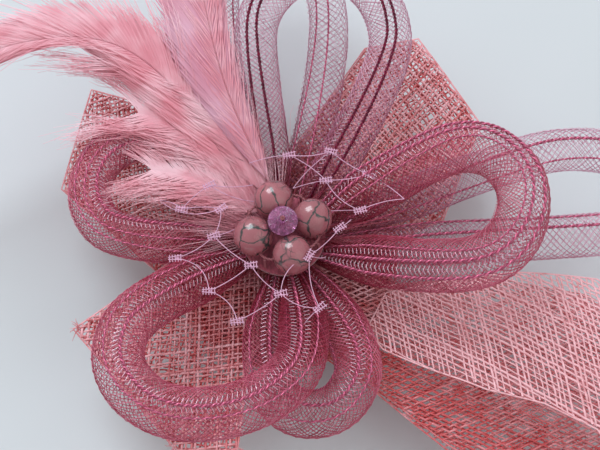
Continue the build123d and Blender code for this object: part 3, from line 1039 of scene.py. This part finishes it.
# Downy tufts at the foot of the feathers: quill corners, the reach of the barbs, and how many there are.
DOWN_TUFTS = [
    (
        [(-4, 5, 22.4), (-12, 9, 24.6), (-20, 12, 25.6), (-27, 13, 25.6)],
        [(0.0, 7, 7, 0.5), (0.4, 13, 14, 0.6), (1.0, 8, 9, 0.7)], 200,
    ),
    (
        [(-5, 8, 22.8), (-14, 17, 25.8), (-22, 23, 27.2), (-30, 25, 27.6)],
        [(0.0, 7, 8, 0.4), (0.4, 15, 17, 0.5), (1.0, 12, 12, 0.6)], 240,
    ),
    (
        [(-4, 9, 23.2), (-10, 20, 26.8), (-19, 32, 29.0), (-30, 37, 30.4)],
        [(0.0, 4, 5, 0.2), (0.4, 13, 13, 0.25), (1.0, 16, 12, 0.3)], 360,
    ),
]
# Veil: knots with the turn of their ladders in degrees, the free ends, and the threads with their bow.
VEIL_KNOTS = {
    "a": (-14.9, 8.9, 27.0, 25), "b": (-20.3, 3.6, 27.0, -10), "c": (-12.4, 3.8, 27.0, 35),
    "d": (-13.7, -2.3, 27.5, 15), "e": (-21.1, -7.2, 28.0, 5), "f": (-6.2, -8.8, 28.5, 5),
    "g": (-14.3, -14.0, 28.0, 0), "h": (-8.7, -20.3, 28.5, 10), "i": (-0.3, -14.8, 28.8, 12),
    "j": (7.2, -17.9, 29.5, 40), "k": (5.3, -7.2, 29.5, 60), "l": (11.3, -0.6, 27.5, 35),
    "m": (1.2, 15.4, 27.5, 10), "n": (9.7, 16.2, 27.5, -15), "o": (8.6, 10.0, 27.0, 5),
    "p": (17.3, 10.8, 28.0, -20), "q": (15.4, 3.0, 28.0, 15),
}
VEIL_ENDS = {
    "corner": (24.1, 4.8, 29.5), "stray": (13.6, 1.2, 27.5),
    "feather_a": (-6.2, 9.6, 25.5), "feather_b": (-7.0, 14.0, 26.5),
    "left_a": (-25.0, 6.0, 26.0),
    "hub_a": (-4.5, 6.5, 24.0), "hub_b": (2.0, 9.5, 24.0), "hub_c": (9.0, 4.5, 24.0),
    "hub_d": (8.5, -5.5, 24.0), "hub_e": (-8.8, 1.0, 24.2), "low_a": (2.5, -23.0, 27.0),
}
VEIL_THREADS = [
    ("e", "d", 0.1), ("e", "g", -0.35), ("g", "f", 0.05), ("g", "h", -0.25), ("h", "i", 0.05),
    ("f", "i", 0.1), ("i", "k", -0.3), ("i", "j", 0.18), ("k", "j", 0.12), ("k", "l", 0.05),
    ("l", "stray", 0.0), ("o", "p", 0.04),
    ("o", "q", 0.15), ("p", "corner", -0.08), ("corner", "q", 0.12), ("q", "hub_c", 0.05), ("n", "p", 0.05),
    ("m", "n", 0.08), ("m", "o", -0.1), ("a", "b", 0.1), ("a", "feather_a", 0.05), ("c", "b", 0.12),
    ("c", "d", -0.1), ("d", "f", 0.06), ("b", "left_a", 0.2), ("left_a", "c", 0.25),
    ("m", "feather_b", 0.1), ("n", "hub_b", 0.1), ("a", "hub_a", 0.12), ("d", "hub_e", 0.05),
    ("k", "hub_d", 0.1), ("o", "hub_b", 0.08), ("j", "low_a", 0.1),
]
# The ring of stone beads, its turn in degrees, the crystal over its middle, and the clip's hinge.
BEAD_RING_R = 6.2
BEAD_TURN = 18.0
BEAD_Z = 26.4
BEAD_R = 4.0
BORE_R = 0.5
CRYSTAL_Z = BEAD_Z + 3.4
CRYSTAL_TILT = 12.0
CRYSTAL_OUTLINE = [(0.95, -2.8), (3.0, -0.12), (3.0, 0.12), (0.95, 2.8), (0.5, 2.65), (0.5, -2.65)]
CRYSTAL_TWIST = [0.0, 0.0, 0.5, 0.5, 0.5, 0.0]  # in facets, row by row
THREAD = dict(thread_radius=0.3 * MM, twist_length=1.5 * MM)
HINGE = (6.0, 0.0, 2.9)
SPRING_R = 1.48
SPRING_WIRE_R = 0.25


# ------------------------------------------------------------------ operators
class HEADPIECE_OT_stage(bpy.types.Operator):
    """Makes the camera, the soft light and the pale floor"""

    bl_idname = "headpiece.make_stage"
    bl_label = "Stage"

    def execute(self, context):
        s = context.scene.headpiece_stage
        lens = bpy.data.cameras.new("Camera")
        lens.lens = s.lens
        lens.sensor_width = 36.0
        lens.clip_start = 0.01
        lens.clip_end = 10.0
        camera = link_object("Camera", lens)
        camera.location = (0.0034, -0.0931, 0.2580)
        camera.rotation_euler = (math.radians(22.0), 0.0, 0.0)
        context.scene.camera = camera
        lowest = CAD_BOX[0].z - s.drop
        reach = 1.5
        corners = [(x * reach, y * reach, lowest) for x, y in ((-1, -1), (1, -1), (1, 1), (-1, 1))]
        floor = link_object("floor", new_mesh("floor", corners, [], [(0, 1, 2, 3)]))
        finish = Finish("pale_floor", Roughness=0.7)
        tone = finish.noise(18.0, 2.0)
        finish.color(finish.ramp(tone, (0.3, shaded(s.floor, 0.96)), (0.7, list(s.floor))))
        floor.data.materials.append(finish.material)
        room_share = 0.14
        self.light("window", (-0.24, 0.45, 0.6), 0.42, s.key, (0.86, 0.95, 1.0))
        self.light("room", (0.45, -0.25, 0.55), 0.6, s.key * room_share, (1.0, 0.93, 0.88))
        world = bpy.data.worlds.new("sky")
        world.use_nodes = True
        background = world.node_tree.nodes["Background"]
        background.inputs["Color"].default_value = (0.95, 0.93, 0.94, 1.0)
        background.inputs["Strength"].default_value = s.fill
        context.scene.world = world
        context.scene.view_settings.view_transform = "Standard"
        return {"FINISHED"}

    def light(self, name, place, size, power, color):
        """A square soft light that points at the middle of the headpiece."""
        lamp = bpy.data.lights.new(name, "AREA")
        lamp.shape = "SQUARE"
        lamp.size = size
        lamp.energy = power
        lamp.color = color
        obj = link_object(name, lamp)
        obj.location = place
        obj.rotation_euler = (Vector((0.0, 0.0, 0.02)) - Vector(place)).to_track_quat("-Z", "Y").to_euler()


class HEADPIECE_OT_crin(bpy.types.Operator):
    """Makes the seven braided crin loops with their ribs"""

    bl_idname = "headpiece.make_crin"
    bl_label = "Crin loops"

    def execute(self, context):
        s = context.scene.headpiece_crin
        # The core colour paints shade on the strands near the hub.
        shared = dict(attribute="tone", core=s.core, Specular_IOR_Level=0.6)
        crin = strand_finish("crin", s.deep, s.light, 0.32, **shared)
        pale = strand_finish("crin_open", s.open_deep, s.open_light, 0.35, **shared)
        bright = strand_finish("crin_rib", shaded(s.rib, 0.5), s.rib, 0.28, attribute="tone", Metallic=0.4)
        deep = strand_finish("crin_rib_deep", (0.12, 0.005, 0.03), (0.3, 0.01, 0.06), 0.3, Metallic=0.3)
        rung = strand_finish("crin_rung", (0.80, 0.48, 0.62), (0.97, 0.80, 0.88), 0.22, Metallic=0.3)
        braid, rib, rungs = crin_braid_tree(), rib_tree(), rung_tree()
        winding, steps_per_turn, fine_rib = 1.2, 18, 0.65
        bar_offset, bar_slant = 0.21, 0.4 * MM
        for number, (name, (diameter, tip_z, corners)) in enumerate(CRIN_LOOPS.items()):
            line, long = self.centre_line(diameter, tip_z, corners)
            turns = round(long / (math.pi * diameter) * winding, 2)
            share = OPEN_BRAIDS.get(name, 1.0)
            wound = dict(strands=round(s.strands * share), turns=turns, steps=int(turns * steps_per_turn))
            thread = dict(strand_radius=s.strand_r, softness=s.softness)
            finish = pale if share < 0.8 else crin
            parts = [braid.make(name, line, finish, seed=number + 3, **wound, **thread)]
            for place, rows, kind in RIBS[name]:
                course = dict(angle=math.radians(place), drift=0.1)
                cord = s.rib_r * (1.0 if rows or kind == "deep" else fine_rib)
                finish = deep if kind == "deep" else bright
                parts.append(rib.make("rib", line, finish, **course, cord_radius=cord, thread_radius=cord))
                for side in (-1, 1)[:rows]:
                    turn, slant = course["angle"] + side * bar_offset, side * bar_slant
                    bars = dict(angle=turn, drift=0.1, width=0.22, slant=slant)
                    parts.append(rungs.make("rungs", line, rung, **bars))
            fit_out(join_pieces(f"{name}_braid", parts), HEAD, "crin", name)
        return {"FINISHED"}

    def centre_line(self, diameter, tip_z, corners):
        """A loop's centre line with the tube's radius at each point, and the line's length in millimetres."""
        ends = []
        for corner in (corners[0], corners[-1]):
            level = Vector(corner[:2]).normalized() * (STALK_R + 0.3)
            ends.append((level.x, level.y, tip_z))
        points = smooth_points([ends[0], *corners, ends[1]], 140)
        long = np.linalg.norm(np.diff(points, axis=0), axis=1).sum() / MM
        first, last = Vector(corners[0]) - Vector(ends[0]), Vector(corners[-1]) - Vector(ends[1])
        clear = max(TAPER, 1.1 * diameter / (2 * math.sin(first.angle(last) / 2)))
        places = np.linspace(0, long, len(points))
        inward = np.clip(np.minimum(places, long - places) / clear, 0, 1)
        radius = (TIP_R + (diameter / 2 - TIP_R) * inward * (1.35 - 0.35 * inward)) * MM
        return line_mesh("centre_line", [points], tube_r=radius), long


class HEADPIECE_OT_straw(bpy.types.Operator):
    """Makes the woven straw leaves, the straw base and the big open straw loop"""

    bl_idname = "headpiece.make_straw"
    bl_label = "Straw cloth"

    def execute(self, context):
        s = context.scene.headpiece_straw
        look = dict(scale=420.0, attribute="tone", Specular_IOR_Level=0.8)
        straw = strand_finish("straw", s.deep, s.light, 0.3, **look)
        weave, fray = straw_weave_tree(), plume_tree()
        sizes = dict(pitch=s.pitch, thread_width=s.width, thread_thickness=s.thickness, looseness=s.looseness)
        for number, (name, (corners, heading, lift, grain)) in enumerate(LEAVES.items()):
            surface = self.leaf_surface(name, corners, heading, lift)
            lie = dict(angle=math.radians(grain), skew=0.14, seed=number + 20)
            parts = [weave.make(name, surface, straw, **lie, **sizes)]
            for place, way, count in FRAYS[name]:
                parts.append(
                    fray.make(
                        "fray", seed_point(), straw, barbs=count, centre=[c * MM for c in place],
                        first_turn=math.radians(way - 80), last_turn=math.radians(way + 80),
                        ring_radius=1.4 * MM, short=0.5 * MM, long=2.0 * MM, rise=0.12, droop=0.1, stray=0.6,
                        barb_radius=0.13 * MM, seed=count,
                    )
                )
            self.declare(join_pieces(f"{name}_weave", parts), surface, name, "sinamay_base")
        surface = self.loop_surface("sinamay_loop_right")
        open_sizes = {**sizes, "pitch": s.pitch * 1.3, "thread_width": s.width * 0.88}
        loop = weave.make("sinamay_loop_weave", surface, straw, angle=0.06, skew=0.7, seed=31, **open_sizes)
        self.declare(loop, surface, "sinamay_loop_right", "sinamay_base")
        surface = self.base_surface("sinamay_base")
        base = weave.make("sinamay_base_weave", surface, straw, angle=0.3, seed=37, **sizes)
        self.declare(base, surface, "sinamay_base", "felt_disc")
        return {"FINISHED"}

    def declare(self, piece, surface, node, rests_on):
        """Puts a woven piece in place, and works out the size of the cut pattern that its surface was laid
        from.
        """
        fit_out(piece, HEAD, "straw", node)
        flat = np.zeros(len(surface.vertices) * 3, np.float32)
        surface.attributes["flat"].data.foreach_get("vector", flat)
        sides = np.ptp(flat.reshape(-1, 3) * FLAT_UNIT, axis=0)[:2]
        flat = tuple(round(float(v), 4) for v in sides)

    def base_surface(self, node):
        """Two discs of cloth, one on the other, in the space of the CAD node."""
        low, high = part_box(node)
        middle, radius = (low.z + high.z) / 2 / MM, (high.x - low.x) / 2 / MM
        circle = [(radius * math.cos(TAU * k / 60), radius * math.sin(TAU * k / 60)) for k in range(60)]
        patches = [
            (circle, lambda x, y, h=height: (x, y, middle + h), ((0, 0), (shift, 0), 0), lambda x, y: 0.4)
            for height, shift in ((0.28, -28), (-0.28, 28))
        ]
        return cloth_patch("base", patches)

    def leaf_surface(self, name, corners, heading, lift):
        """Both layers of a folded leaf, inside the slab that the CAD leaves for it."""
        floor_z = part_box(name)[0].z / MM
        way = Vector(compass(heading))
        middle = Vector(np.mean(corners, axis=0))
        flat_root, rise_length = 14.0, 48.0

        def layer(height, phase):
            def lay(x, y):
                share = clamp((x * way.x + y * way.y - flat_root) / rise_length)
                ripple = 0.35 * math.sin(0.21 * x + phase) * math.sin(0.17 * y + 2 * phase) * share
                return x, y, floor_z + height + lift * share ** 1.6 + ripple

            return lay

        back = [tuple(middle + (Vector(c) - middle) * 0.975) for c in corners]
        # Painted shade: the back layer is painted darker (0.1) than the front layer (0.6).
        front_patch = (list(corners), layer(0.8, 0.4), (middle, (-33, 0), 0), lambda x, y: 0.6)
        back_patch = (back, layer(0.2, 1.7), (middle, (33, 0), 17), lambda x, y: 0.1)
        return cloth_patch(name, [front_patch, back_patch])

    def loop_surface(self, name):
        """The open loop's band, laid along its route from the root out, up round the fold and back."""
        route = smooth_points([(x, 0, z) for x, z in BIG_LOOP_ROUTE], 260) / MM
        along = np.r_[0, np.cumsum(np.linalg.norm(np.diff(route, axis=0), axis=1))]
        turn = int(np.argmax(route[:, 0]))

        def flat_edge(edge, part):
            xs, ss = route[part, 0], along[part]
            order = np.argsort(xs)
            return [(float(np.interp(x, xs[order], ss[order])), w) for x, w in edge]

        near, far = (flat_edge(edge, slice(None, turn + 1)) for edge in BIG_LOOP_LOWER)
        upper_near, upper_far = (flat_edge(edge, slice(turn, None)) for edge in BIG_LOOP_UPPER)
        lining = [(s, w * 0.96) for s, w in near[1:] + far[:-1]]
        cosine, sine = compass(BIG_LOOP_HEADING)

        def lay(s, w):
            x = float(np.interp(s, along, route[:, 0]))
            z = float(np.interp(s, along, route[:, 2]))
            dish = 0.006 * (w - 6) ** 2 if s > along[turn] else 0.0
            z += clamp((x - 24) / 40) * (0.5 * math.sin(0.16 * w + 0.05 * s) - dish)
            return x * cosine - w * sine, x * sine + w * cosine, max(z, BIG_LOOP_FLOOR)

        def lay_lining(s, w):
            x, y, z = lay(s, w)
            return x, y, z - LINING_GAP if z > BIG_LOOP_FLOOR + 0.5 else z + LINING_GAP

        # Painted shade across the band: 0 where w is below -12, rising to 0.6 where w is above -2.
        def painted_band_shade(s, w):
            return 0.6 * clamp((w + 12) / 10)

        # Painted light on the layer past the fold (1.3), and painted shade on the layer below it.
        def painted_light(s, w):
            return 1.3 if s > along[turn] else 0.1 + painted_band_shade(s, w)

        middle = (along[-1] / 2, 0)
        band = (near + upper_near + upper_far + far, lay, (middle, (0, 0), 0), painted_light)
        return cloth_patch(name, [band, (lining, lay_lining, (middle, (0, 46), 3), painted_band_shade)])


class HEADPIECE_OT_feathers(bpy.types.Operator):
    """Makes the two feathers and the downy barbs round the beads"""

    bl_idname = "headpiece.make_feathers"
    bl_label = "Feathers"

    def execute(self, context):
        s = context.scene.headpiece_feather
        thin = dict(Subsurface_Weight=0.12, Subsurface_Radius=(1.0, 0.5, 0.55), Subsurface_Scale=0.8 * MM)
        barb = strand_finish("feather_barb", s.deep, s.light, 0.55, scale=120.0, **thin)
        satin = strand_finish("feather_satin", s.satin_deep, s.satin_light, 0.45, scale=90.0, **thin)
        # The down's dark crimson is painted shade round the hub.
        down = strand_finish("feather_down", shaded(s.down, 0.5), s.down, 0.6, scale=200.0)
        vane, plume = feather_tree(), plume_tree()
        for number, (name, shape) in enumerate(FEATHERS.items()):
            points = smooth_points(shape["quill"], 60)
            shared = dict(forward=shape["forward"], curl=0.3, droop=0.1)
            web = vane.make(
                name, self.quill(points, shape["reach"]), satin if number else barb, barbs=s.barbs,
                barb_radius=s.barb_r, barb_thickness=0.012 * MM, seed=number + 50, stray=0.012, cup=0.1,
                **shared,
            )
            wisps = vane.make(
                "wisps", self.quill(points, shape["wisps"]), barb, barbs=120, barb_radius=s.barb_r * 0.28,
                seed=number + 55, stray=0.14, cup=0.22, **shared,
            )
            fit_out(join_pieces(f"{name}_vane", [web, wisps]), HEAD, "feather", name)
        parts = self.fluff(plume, barb, down)
        for number, (corners, reach, count) in enumerate(DOWN_TUFTS):
            tuft = self.quill(smooth_points(corners, 40), reach)
            parts.append(
                vane.make(
                    "tuft", tuft, barb, barbs=count, barb_radius=0.09 * MM, barb_thickness=0.04 * MM,
                    quill_radius=0.1 * MM, seed=70 + number, stray=0.12, cup=0.16, forward=0.75, curl=0.55,
                    droop=0.15,
                )
            )
        fit_out(join_pieces("feather_down", parts), HEAD, "feather", "feather_fluff")
        return {"FINISHED"}

    def fluff(self, plume, barb, down):
        """Loose barbs round the beads, in layers of a finish, a count, lengths, turns, a rise and a droop."""
        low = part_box("feather_fluff")[0].z
        layers = [
            # The two down layers carry painted shade round the beads at the hub.
            (down, 80, (7, 17), (0, 360), 0.3, 0.16),
            (barb, 320, (12, 29), (96, 190), 0.42, 0.3),
            (down, 40, (12, 24), (-20, 60), 0.4, 0.2),
        ]
        return [
            plume.make(
                f"fluff_{k}", seed_point(), finish, barbs=count, short=short * MM, long=long * MM,
                first_turn=math.radians(first), last_turn=math.radians(last), rise=rise, droop=droop,
                ring_radius=6.5 * MM, stray=0.22, seed=60 + k, barb_radius=0.06 * MM,
                centre=(0.0, 0.0, low + (0.6 * MM) * k),
            )
            for k, (finish, count, (short, long), (first, last), rise, droop) in enumerate(layers)
        ]

    def quill(self, points, table):
        """The quill's line with the reach of its barbs and how downy they are, from shares of its length."""
        table = np.array(table, float)
        shares = np.linspace(0, 1, len(points))
        reach = np.stack([np.interp(shares, table[:, 0], table[:, k]) for k in (1, 2, 3)], axis=1)
        reach[:, :2] *= MM
        return line_mesh("quill", [points], reach=reach)


class HEADPIECE_OT_veil(bpy.types.Operator):
    """Makes the net veil with its ladder knots"""

    bl_idname = "headpiece.make_veil"
    bl_label = "Veil"

    def execute(self, context):
        s = context.scene.headpiece_veil
        tones = shaded(s.color, 0.85), shaded(s.color, 1.1)
        thread = strand_finish("net_thread", *tones, 0.4, Sheen_Weight=0.3)
        places = {k: Vector(v[:3]) for k, v in {**VEIL_KNOTS, **VEIL_ENDS}.items()}
        steps, sink = 8, 1.4
        runs = []
        for a, b, bow in VEIL_THREADS:
            start, end = places[a], places[b]
            level = (end - start).cross(Vector((0, 0, 1))) * bow * 0.6
            arch = [(k / steps, k / steps * (1 - k / steps)) for k in range(steps + 1)]
            bowed = [start.lerp(end, t) + level * 4 * h - Vector((0, 0, sink * h)) for t, h in arch]
            runs.append([point * MM for point in bowed])
        plain = sum(len(run) for run in runs)
        runs += [[Vector((x, y, z)) * MM] for x, y, z, _ in VEIL_KNOTS.values()]
        knots = [False] * plain + [True] * len(VEIL_KNOTS)
        turns = [0.0] * plain + [math.radians(turn) for *_, turn in VEIL_KNOTS.values()]
        source = line_mesh("net_lines", runs, knot=knots, turn=turns)
        net = net_tree().make("veil_net_threads", source, thread, thread_radius=s.thread_r, seed=1)
        fit_out(net, HEAD, "veil", "veil_net")
        return {"FINISHED"}


class HEADPIECE_OT_beads(bpy.types.Operator):
    """Makes the stone beads, the crystal and their threads"""

    bl_idname = "headpiece.make_beads"
    bl_label = "Beads"

    def execute(self, context):
        s = context.scene.headpiece_bead
        stone = stone_finish("stone", list(s.stone), list(s.vein))
        glass = crystal_finish("crystal_glass", list(s.crystal))
        cotton = strand_finish("bead_cotton", shaded(s.stone, 0.7), list(s.stone), 0.7)
        start = math.asin((BORE_R + 0.12) / BEAD_R)
        arc = [start + (math.pi - 2 * start) * k / 30 for k in range(31)]
        profile = [(BEAD_R * math.sin(a), -BEAD_R * math.cos(a)) for a in arc]
        inner = BEAD_R * math.cos(start) - 0.15
        profile += [(BORE_R, inner), (BORE_R, -inner)]
        for k, name in enumerate(("bead_right", "bead_top", "bead_left", "bead_bottom")):
            cosine, sine = compass(BEAD_TURN + 90 * k)
            centre = (BEAD_RING_R * cosine, BEAD_RING_R * sine, BEAD_Z)
            bead = lathe(f"{name}_stone", stone, profile, 56, (-sine, cosine, 0), centre)
            fit_out(bead, HEAD, "stone", name)
        cosine, sine = compass(CRYSTAL_TILT)
        way = Vector((0.0, -sine, cosine))
        cut = dict(smooth=False, twist=CRYSTAL_TWIST)
        crystal = lathe("crystal_bead_cut", glass, CRYSTAL_OUTLINE, 8, way, (0, 0, CRYSTAL_Z), **cut)
        fit_out(crystal, HEAD, "crystal", "crystal_bead")
        twisted = thread_tree()
        ring = line_mesh("thread", self.ring_runs())
        fit_out(twisted.make("bead_ring_thread", ring, cotton, **THREAD), HEAD, "thread", "bead_thread")
        fine = dict(thread_radius=0.2 * MM, twist_length=1.0 * MM)
        tie = twisted.make("crystal_tie", line_mesh("thread", self.tie_runs(way)), cotton, **fine)
        fit_out(tie, HEAD, "thread", "crystal_thread")
        return {"FINISHED"}

    def ring_runs(self):
        """The thread through the stones, and where it goes down into the pad between them."""
        side = BEAD_RING_R
        cosine, sine = compass(BEAD_TURN)
        square = [(side, -side), (side, side), (-side, side), (-side, -side)]
        ring = []
        for (ax, ay), (bx, by) in zip(square, square[1:] + square[:1]):
            ring += [(ax + (bx - ax) * t, ay + (by - ay) * t) for t in (0.15, 0.5, 0.85)]
        ring.append(ring[0])
        runs = [smooth_points([(x * cosine - y * sine, x * sine + y * cosine, BEAD_Z) for x, y in ring], 80)]
        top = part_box("bead_pad")[1].z / MM
        reach = side * math.sqrt(2) - 0.9
        for k in range(4):
            cosine, sine = compass(BEAD_TURN + 45 + 90 * k)
            x, y = reach * cosine, reach * sine
            runs.append(smooth_points([(x, y, BEAD_Z), (x, y, top + 1), (x, y, top - 0.4)], 12))
        return runs

    def tie_runs(self, way):
        """The thread through the crystal, with its stop knot."""
        middle = Vector((0, 0, CRYSTAL_Z))
        stem = [tuple(middle + way * reach) for reach in (3.1, 0.0, -7.3)]
        knot = []
        for a in np.linspace(0, TAU * 1.75, 16):
            round_way = Vector((math.cos(a), math.sin(a), 0)) * 0.36
            knot.append(tuple(middle + way * (3.1 + 0.12 * math.sin(2 * a)) + round_way))
        return [smooth_points(stem, 30), smooth_points(knot, 60)]


class HEADPIECE_OT_mount(bpy.types.Operator):
    """Makes the felt, the pad, the bound stalk, the spring and the stitches, and finishes the clip"""

    bl_idname = "headpiece.make_mount"
    bl_label = "Base and clip"

    def execute(self, context):
        s = context.scene.headpiece_clip
        steel = metal_finish("clip_steel", list(s.steel), 0.3)
        spring_steel = metal_finish("spring_steel", shaded(s.steel, 0.8), 0.22)
        felt = felt_finish("felt", shaded(s.felt, 0.7), shaded(s.felt, 1.35))
        cotton = strand_finish("sewing_thread", shaded(s.thread, 0.7), shaded(s.thread, 1.4), 0.6)
        for node in ("clip_upper_arm", "clip_lower_arm", "clip_hinge_pin"):
            mesh = frame["nodes"][node].data
            mesh.materials.clear()
            mesh.materials.append(steel)
        self.disc("felt_disc", "felt_backing", felt, 0.28, "clip_upper_arm")
        self.disc("bead_pad_felt", "bead_pad", felt, 0.15, "feather_fluff")
        wound = wound_tree()
        self.stalk(wound, cotton)
        self.spring(wound, spring_steel)
        self.stitches(cotton)
        return {"FINISHED"}

    def disc(self, name, node, felt, rounding, rests_on):
        """A disc of felt with a soft, slightly uneven rim, in the space of its CAD node."""
        low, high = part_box(node)
        radius, thick = (high.x - low.x) / 2 / MM, (high.z - low.z) / MM
        soft = rounding * 0.3
        rim = [(radius - rounding, 0.0), (radius - soft, soft), (radius, thick / 2)]
        rim += [(radius - soft, thick - soft), (radius - rounding, thick)]
        profile = [(0.02, 0.0)] + [(radius * k / 12, 0.0) for k in range(1, 12)] + rim
        profile += [(radius * k / 12, thick) for k in range(11, 0, -1)] + [(0.02, thick)]
        piece = lathe(name, felt, profile, 96, centre=(0, 0, low.z / MM))
        for v in piece.data.vertices:
            angle = math.atan2(v.co.y, v.co.x)
            out = math.hypot(v.co.x, v.co.y) / (radius * MM)
            wobble = 1 - 0.004 * (1 + math.sin(9 * angle) * math.sin(4 * angle + 1.3)) * out ** 4
            v.co.x *= wobble
            v.co.y *= wobble
        fit_out(piece, HEAD, "felt", node)

    def stalk(self, wound, cotton):
        """The thread wound round the gathered tips, over a solid core."""
        low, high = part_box("binding_thread")
        tall = (high.z - low.z) / MM
        binding = wound.make(
            "stalk_binding", seed_point(), cotton, turns=round(tall / 0.5), coil_radius=3.45 * MM,
            thread_radius=0.3 * MM, length=(tall - 0.7) * MM, unevenness=0.05,
            centre=(0, 0, (low.z + high.z) / 2), axis=(0, 0, 1), seed=4,
        )
        bottom, top = low.z / MM + 0.1, high.z / MM - 0.1
        core = lathe("stalk_core", cotton, [(0.01, bottom), (3.3, bottom), (3.3, top), (0.01, top)], 32)
        fit_out(join_pieces("stalk_binding", [binding, core]), HEAD, "thread", "binding_thread")

    def spring(self, wound, steel):
        """A torsion spring of round wire, whose lower leg follows the jaw arm."""
        x, y, z = HINGE
        half, leg = 2.05, 1.8
        coil = wound.make(
            "coil", seed_point(), steel, turns=7.0, coil_radius=SPRING_R * MM,
            thread_radius=SPRING_WIRE_R * MM, length=2 * half * MM * 0.93,
            centre=(x * MM, y * MM, z * MM), axis=(0, 1, 0), seed=1,
        )
        upper = [(x, leg, z + SPRING_R), (x + 3, leg, z + 1.6), (x + 6, leg, z + 1.75)]
        lower = [(x, -leg, z - SPRING_R), (x + 2.0, -leg, z - 1.5), (x + 4.0, -leg, z - 1.75)]
        lower.append((x + 9.5, -leg, z - 4.1))
        legs = line_mesh("legs", [smooth_points(upper, 14), smooth_points(lower, 24)])
        legs = round_wire_tree().make("legs", legs, steel, wire_radius=SPRING_WIRE_R * MM)
        piece = join_pieces("clip_spring_wire", [coil, legs])
        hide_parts("clip_spring")
        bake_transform(piece)

    def stitches(self, cotton):
        """Runs of thread over the upper arm, with both ends in the felt."""
        low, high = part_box("clip_stitches")
        y, bottom, top = high.y / MM - 0.3, low.z / MM + 0.3, high.z / MM
        left = [(-y, top), (-y, bottom + 0.4), (-y + 0.5, bottom)]
        section = left + [(-across, height) for across, height in reversed(left)]
        runs = [smooth_points([(x, *corner) for corner in section], 50) for x in (-18.0, -11.0, -4.0, 15.0)]
        size = {**THREAD, "twist_length": 1.4 * MM}
        piece = thread_tree().make("clip_stitching", line_mesh("stitches", runs), cotton, **size)
        fit_out(piece, HEAD, "thread", "clip_stitches")


class HEADPIECE_PT_panel(bpy.types.Panel):
    """Lists the headpiece's operators and sizes"""

    bl_label = "Headpiece"
    bl_idname = "HEADPIECE_PT_panel"
    bl_space_type = "VIEW_3D"
    bl_region_type = "UI"
    bl_category = "Headpiece"

    def draw(self, context):
        for operator, attribute in zip(OPERATORS, SETTINGS):
            box = self.layout.box()
            box.operator(operator.bl_idname)
            group = getattr(context.scene, attribute)
            for key in group.__annotations__:
                box.prop(group, key)


SETTINGS = {
    "headpiece_stage": StageSettings,
    "headpiece_crin": CrinSettings,
    "headpiece_straw": StrawSettings,
    "headpiece_feather": FeatherSettings,
    "headpiece_veil": VeilSettings,
    "headpiece_bead": BeadSettings,
    "headpiece_clip": ClipSettings,
}
OPERATORS = (
    HEADPIECE_OT_stage,
    HEADPIECE_OT_crin,
    HEADPIECE_OT_straw,
    HEADPIECE_OT_feathers,
    HEADPIECE_OT_veil,
    HEADPIECE_OT_beads,
    HEADPIECE_OT_mount,
)


def register():
    for each in (*SETTINGS.values(), *OPERATORS, HEADPIECE_PT_panel):
        bpy.utils.register_class(each)
    for attribute, group in SETTINGS.items():
        setattr(bpy.types.Scene, attribute, PointerProperty(type=group))


def unregister():
    for attribute in SETTINGS:
        delattr(bpy.types.Scene, attribute)
    for each in reversed((*SETTINGS.values(), *OPERATORS, HEADPIECE_PT_panel)):
        bpy.utils.unregister_class(each)


def main():
    register()
    bpy.ops.headpiece.make_stage()
    bpy.ops.headpiece.make_crin()
    bpy.ops.headpiece.make_straw()
    bpy.ops.headpiece.make_feathers()
    bpy.ops.headpiece.make_veil()
    bpy.ops.headpiece.make_beads()
    bpy.ops.headpiece.make_mount()
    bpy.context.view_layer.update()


if __name__ == "__main__":
    main()
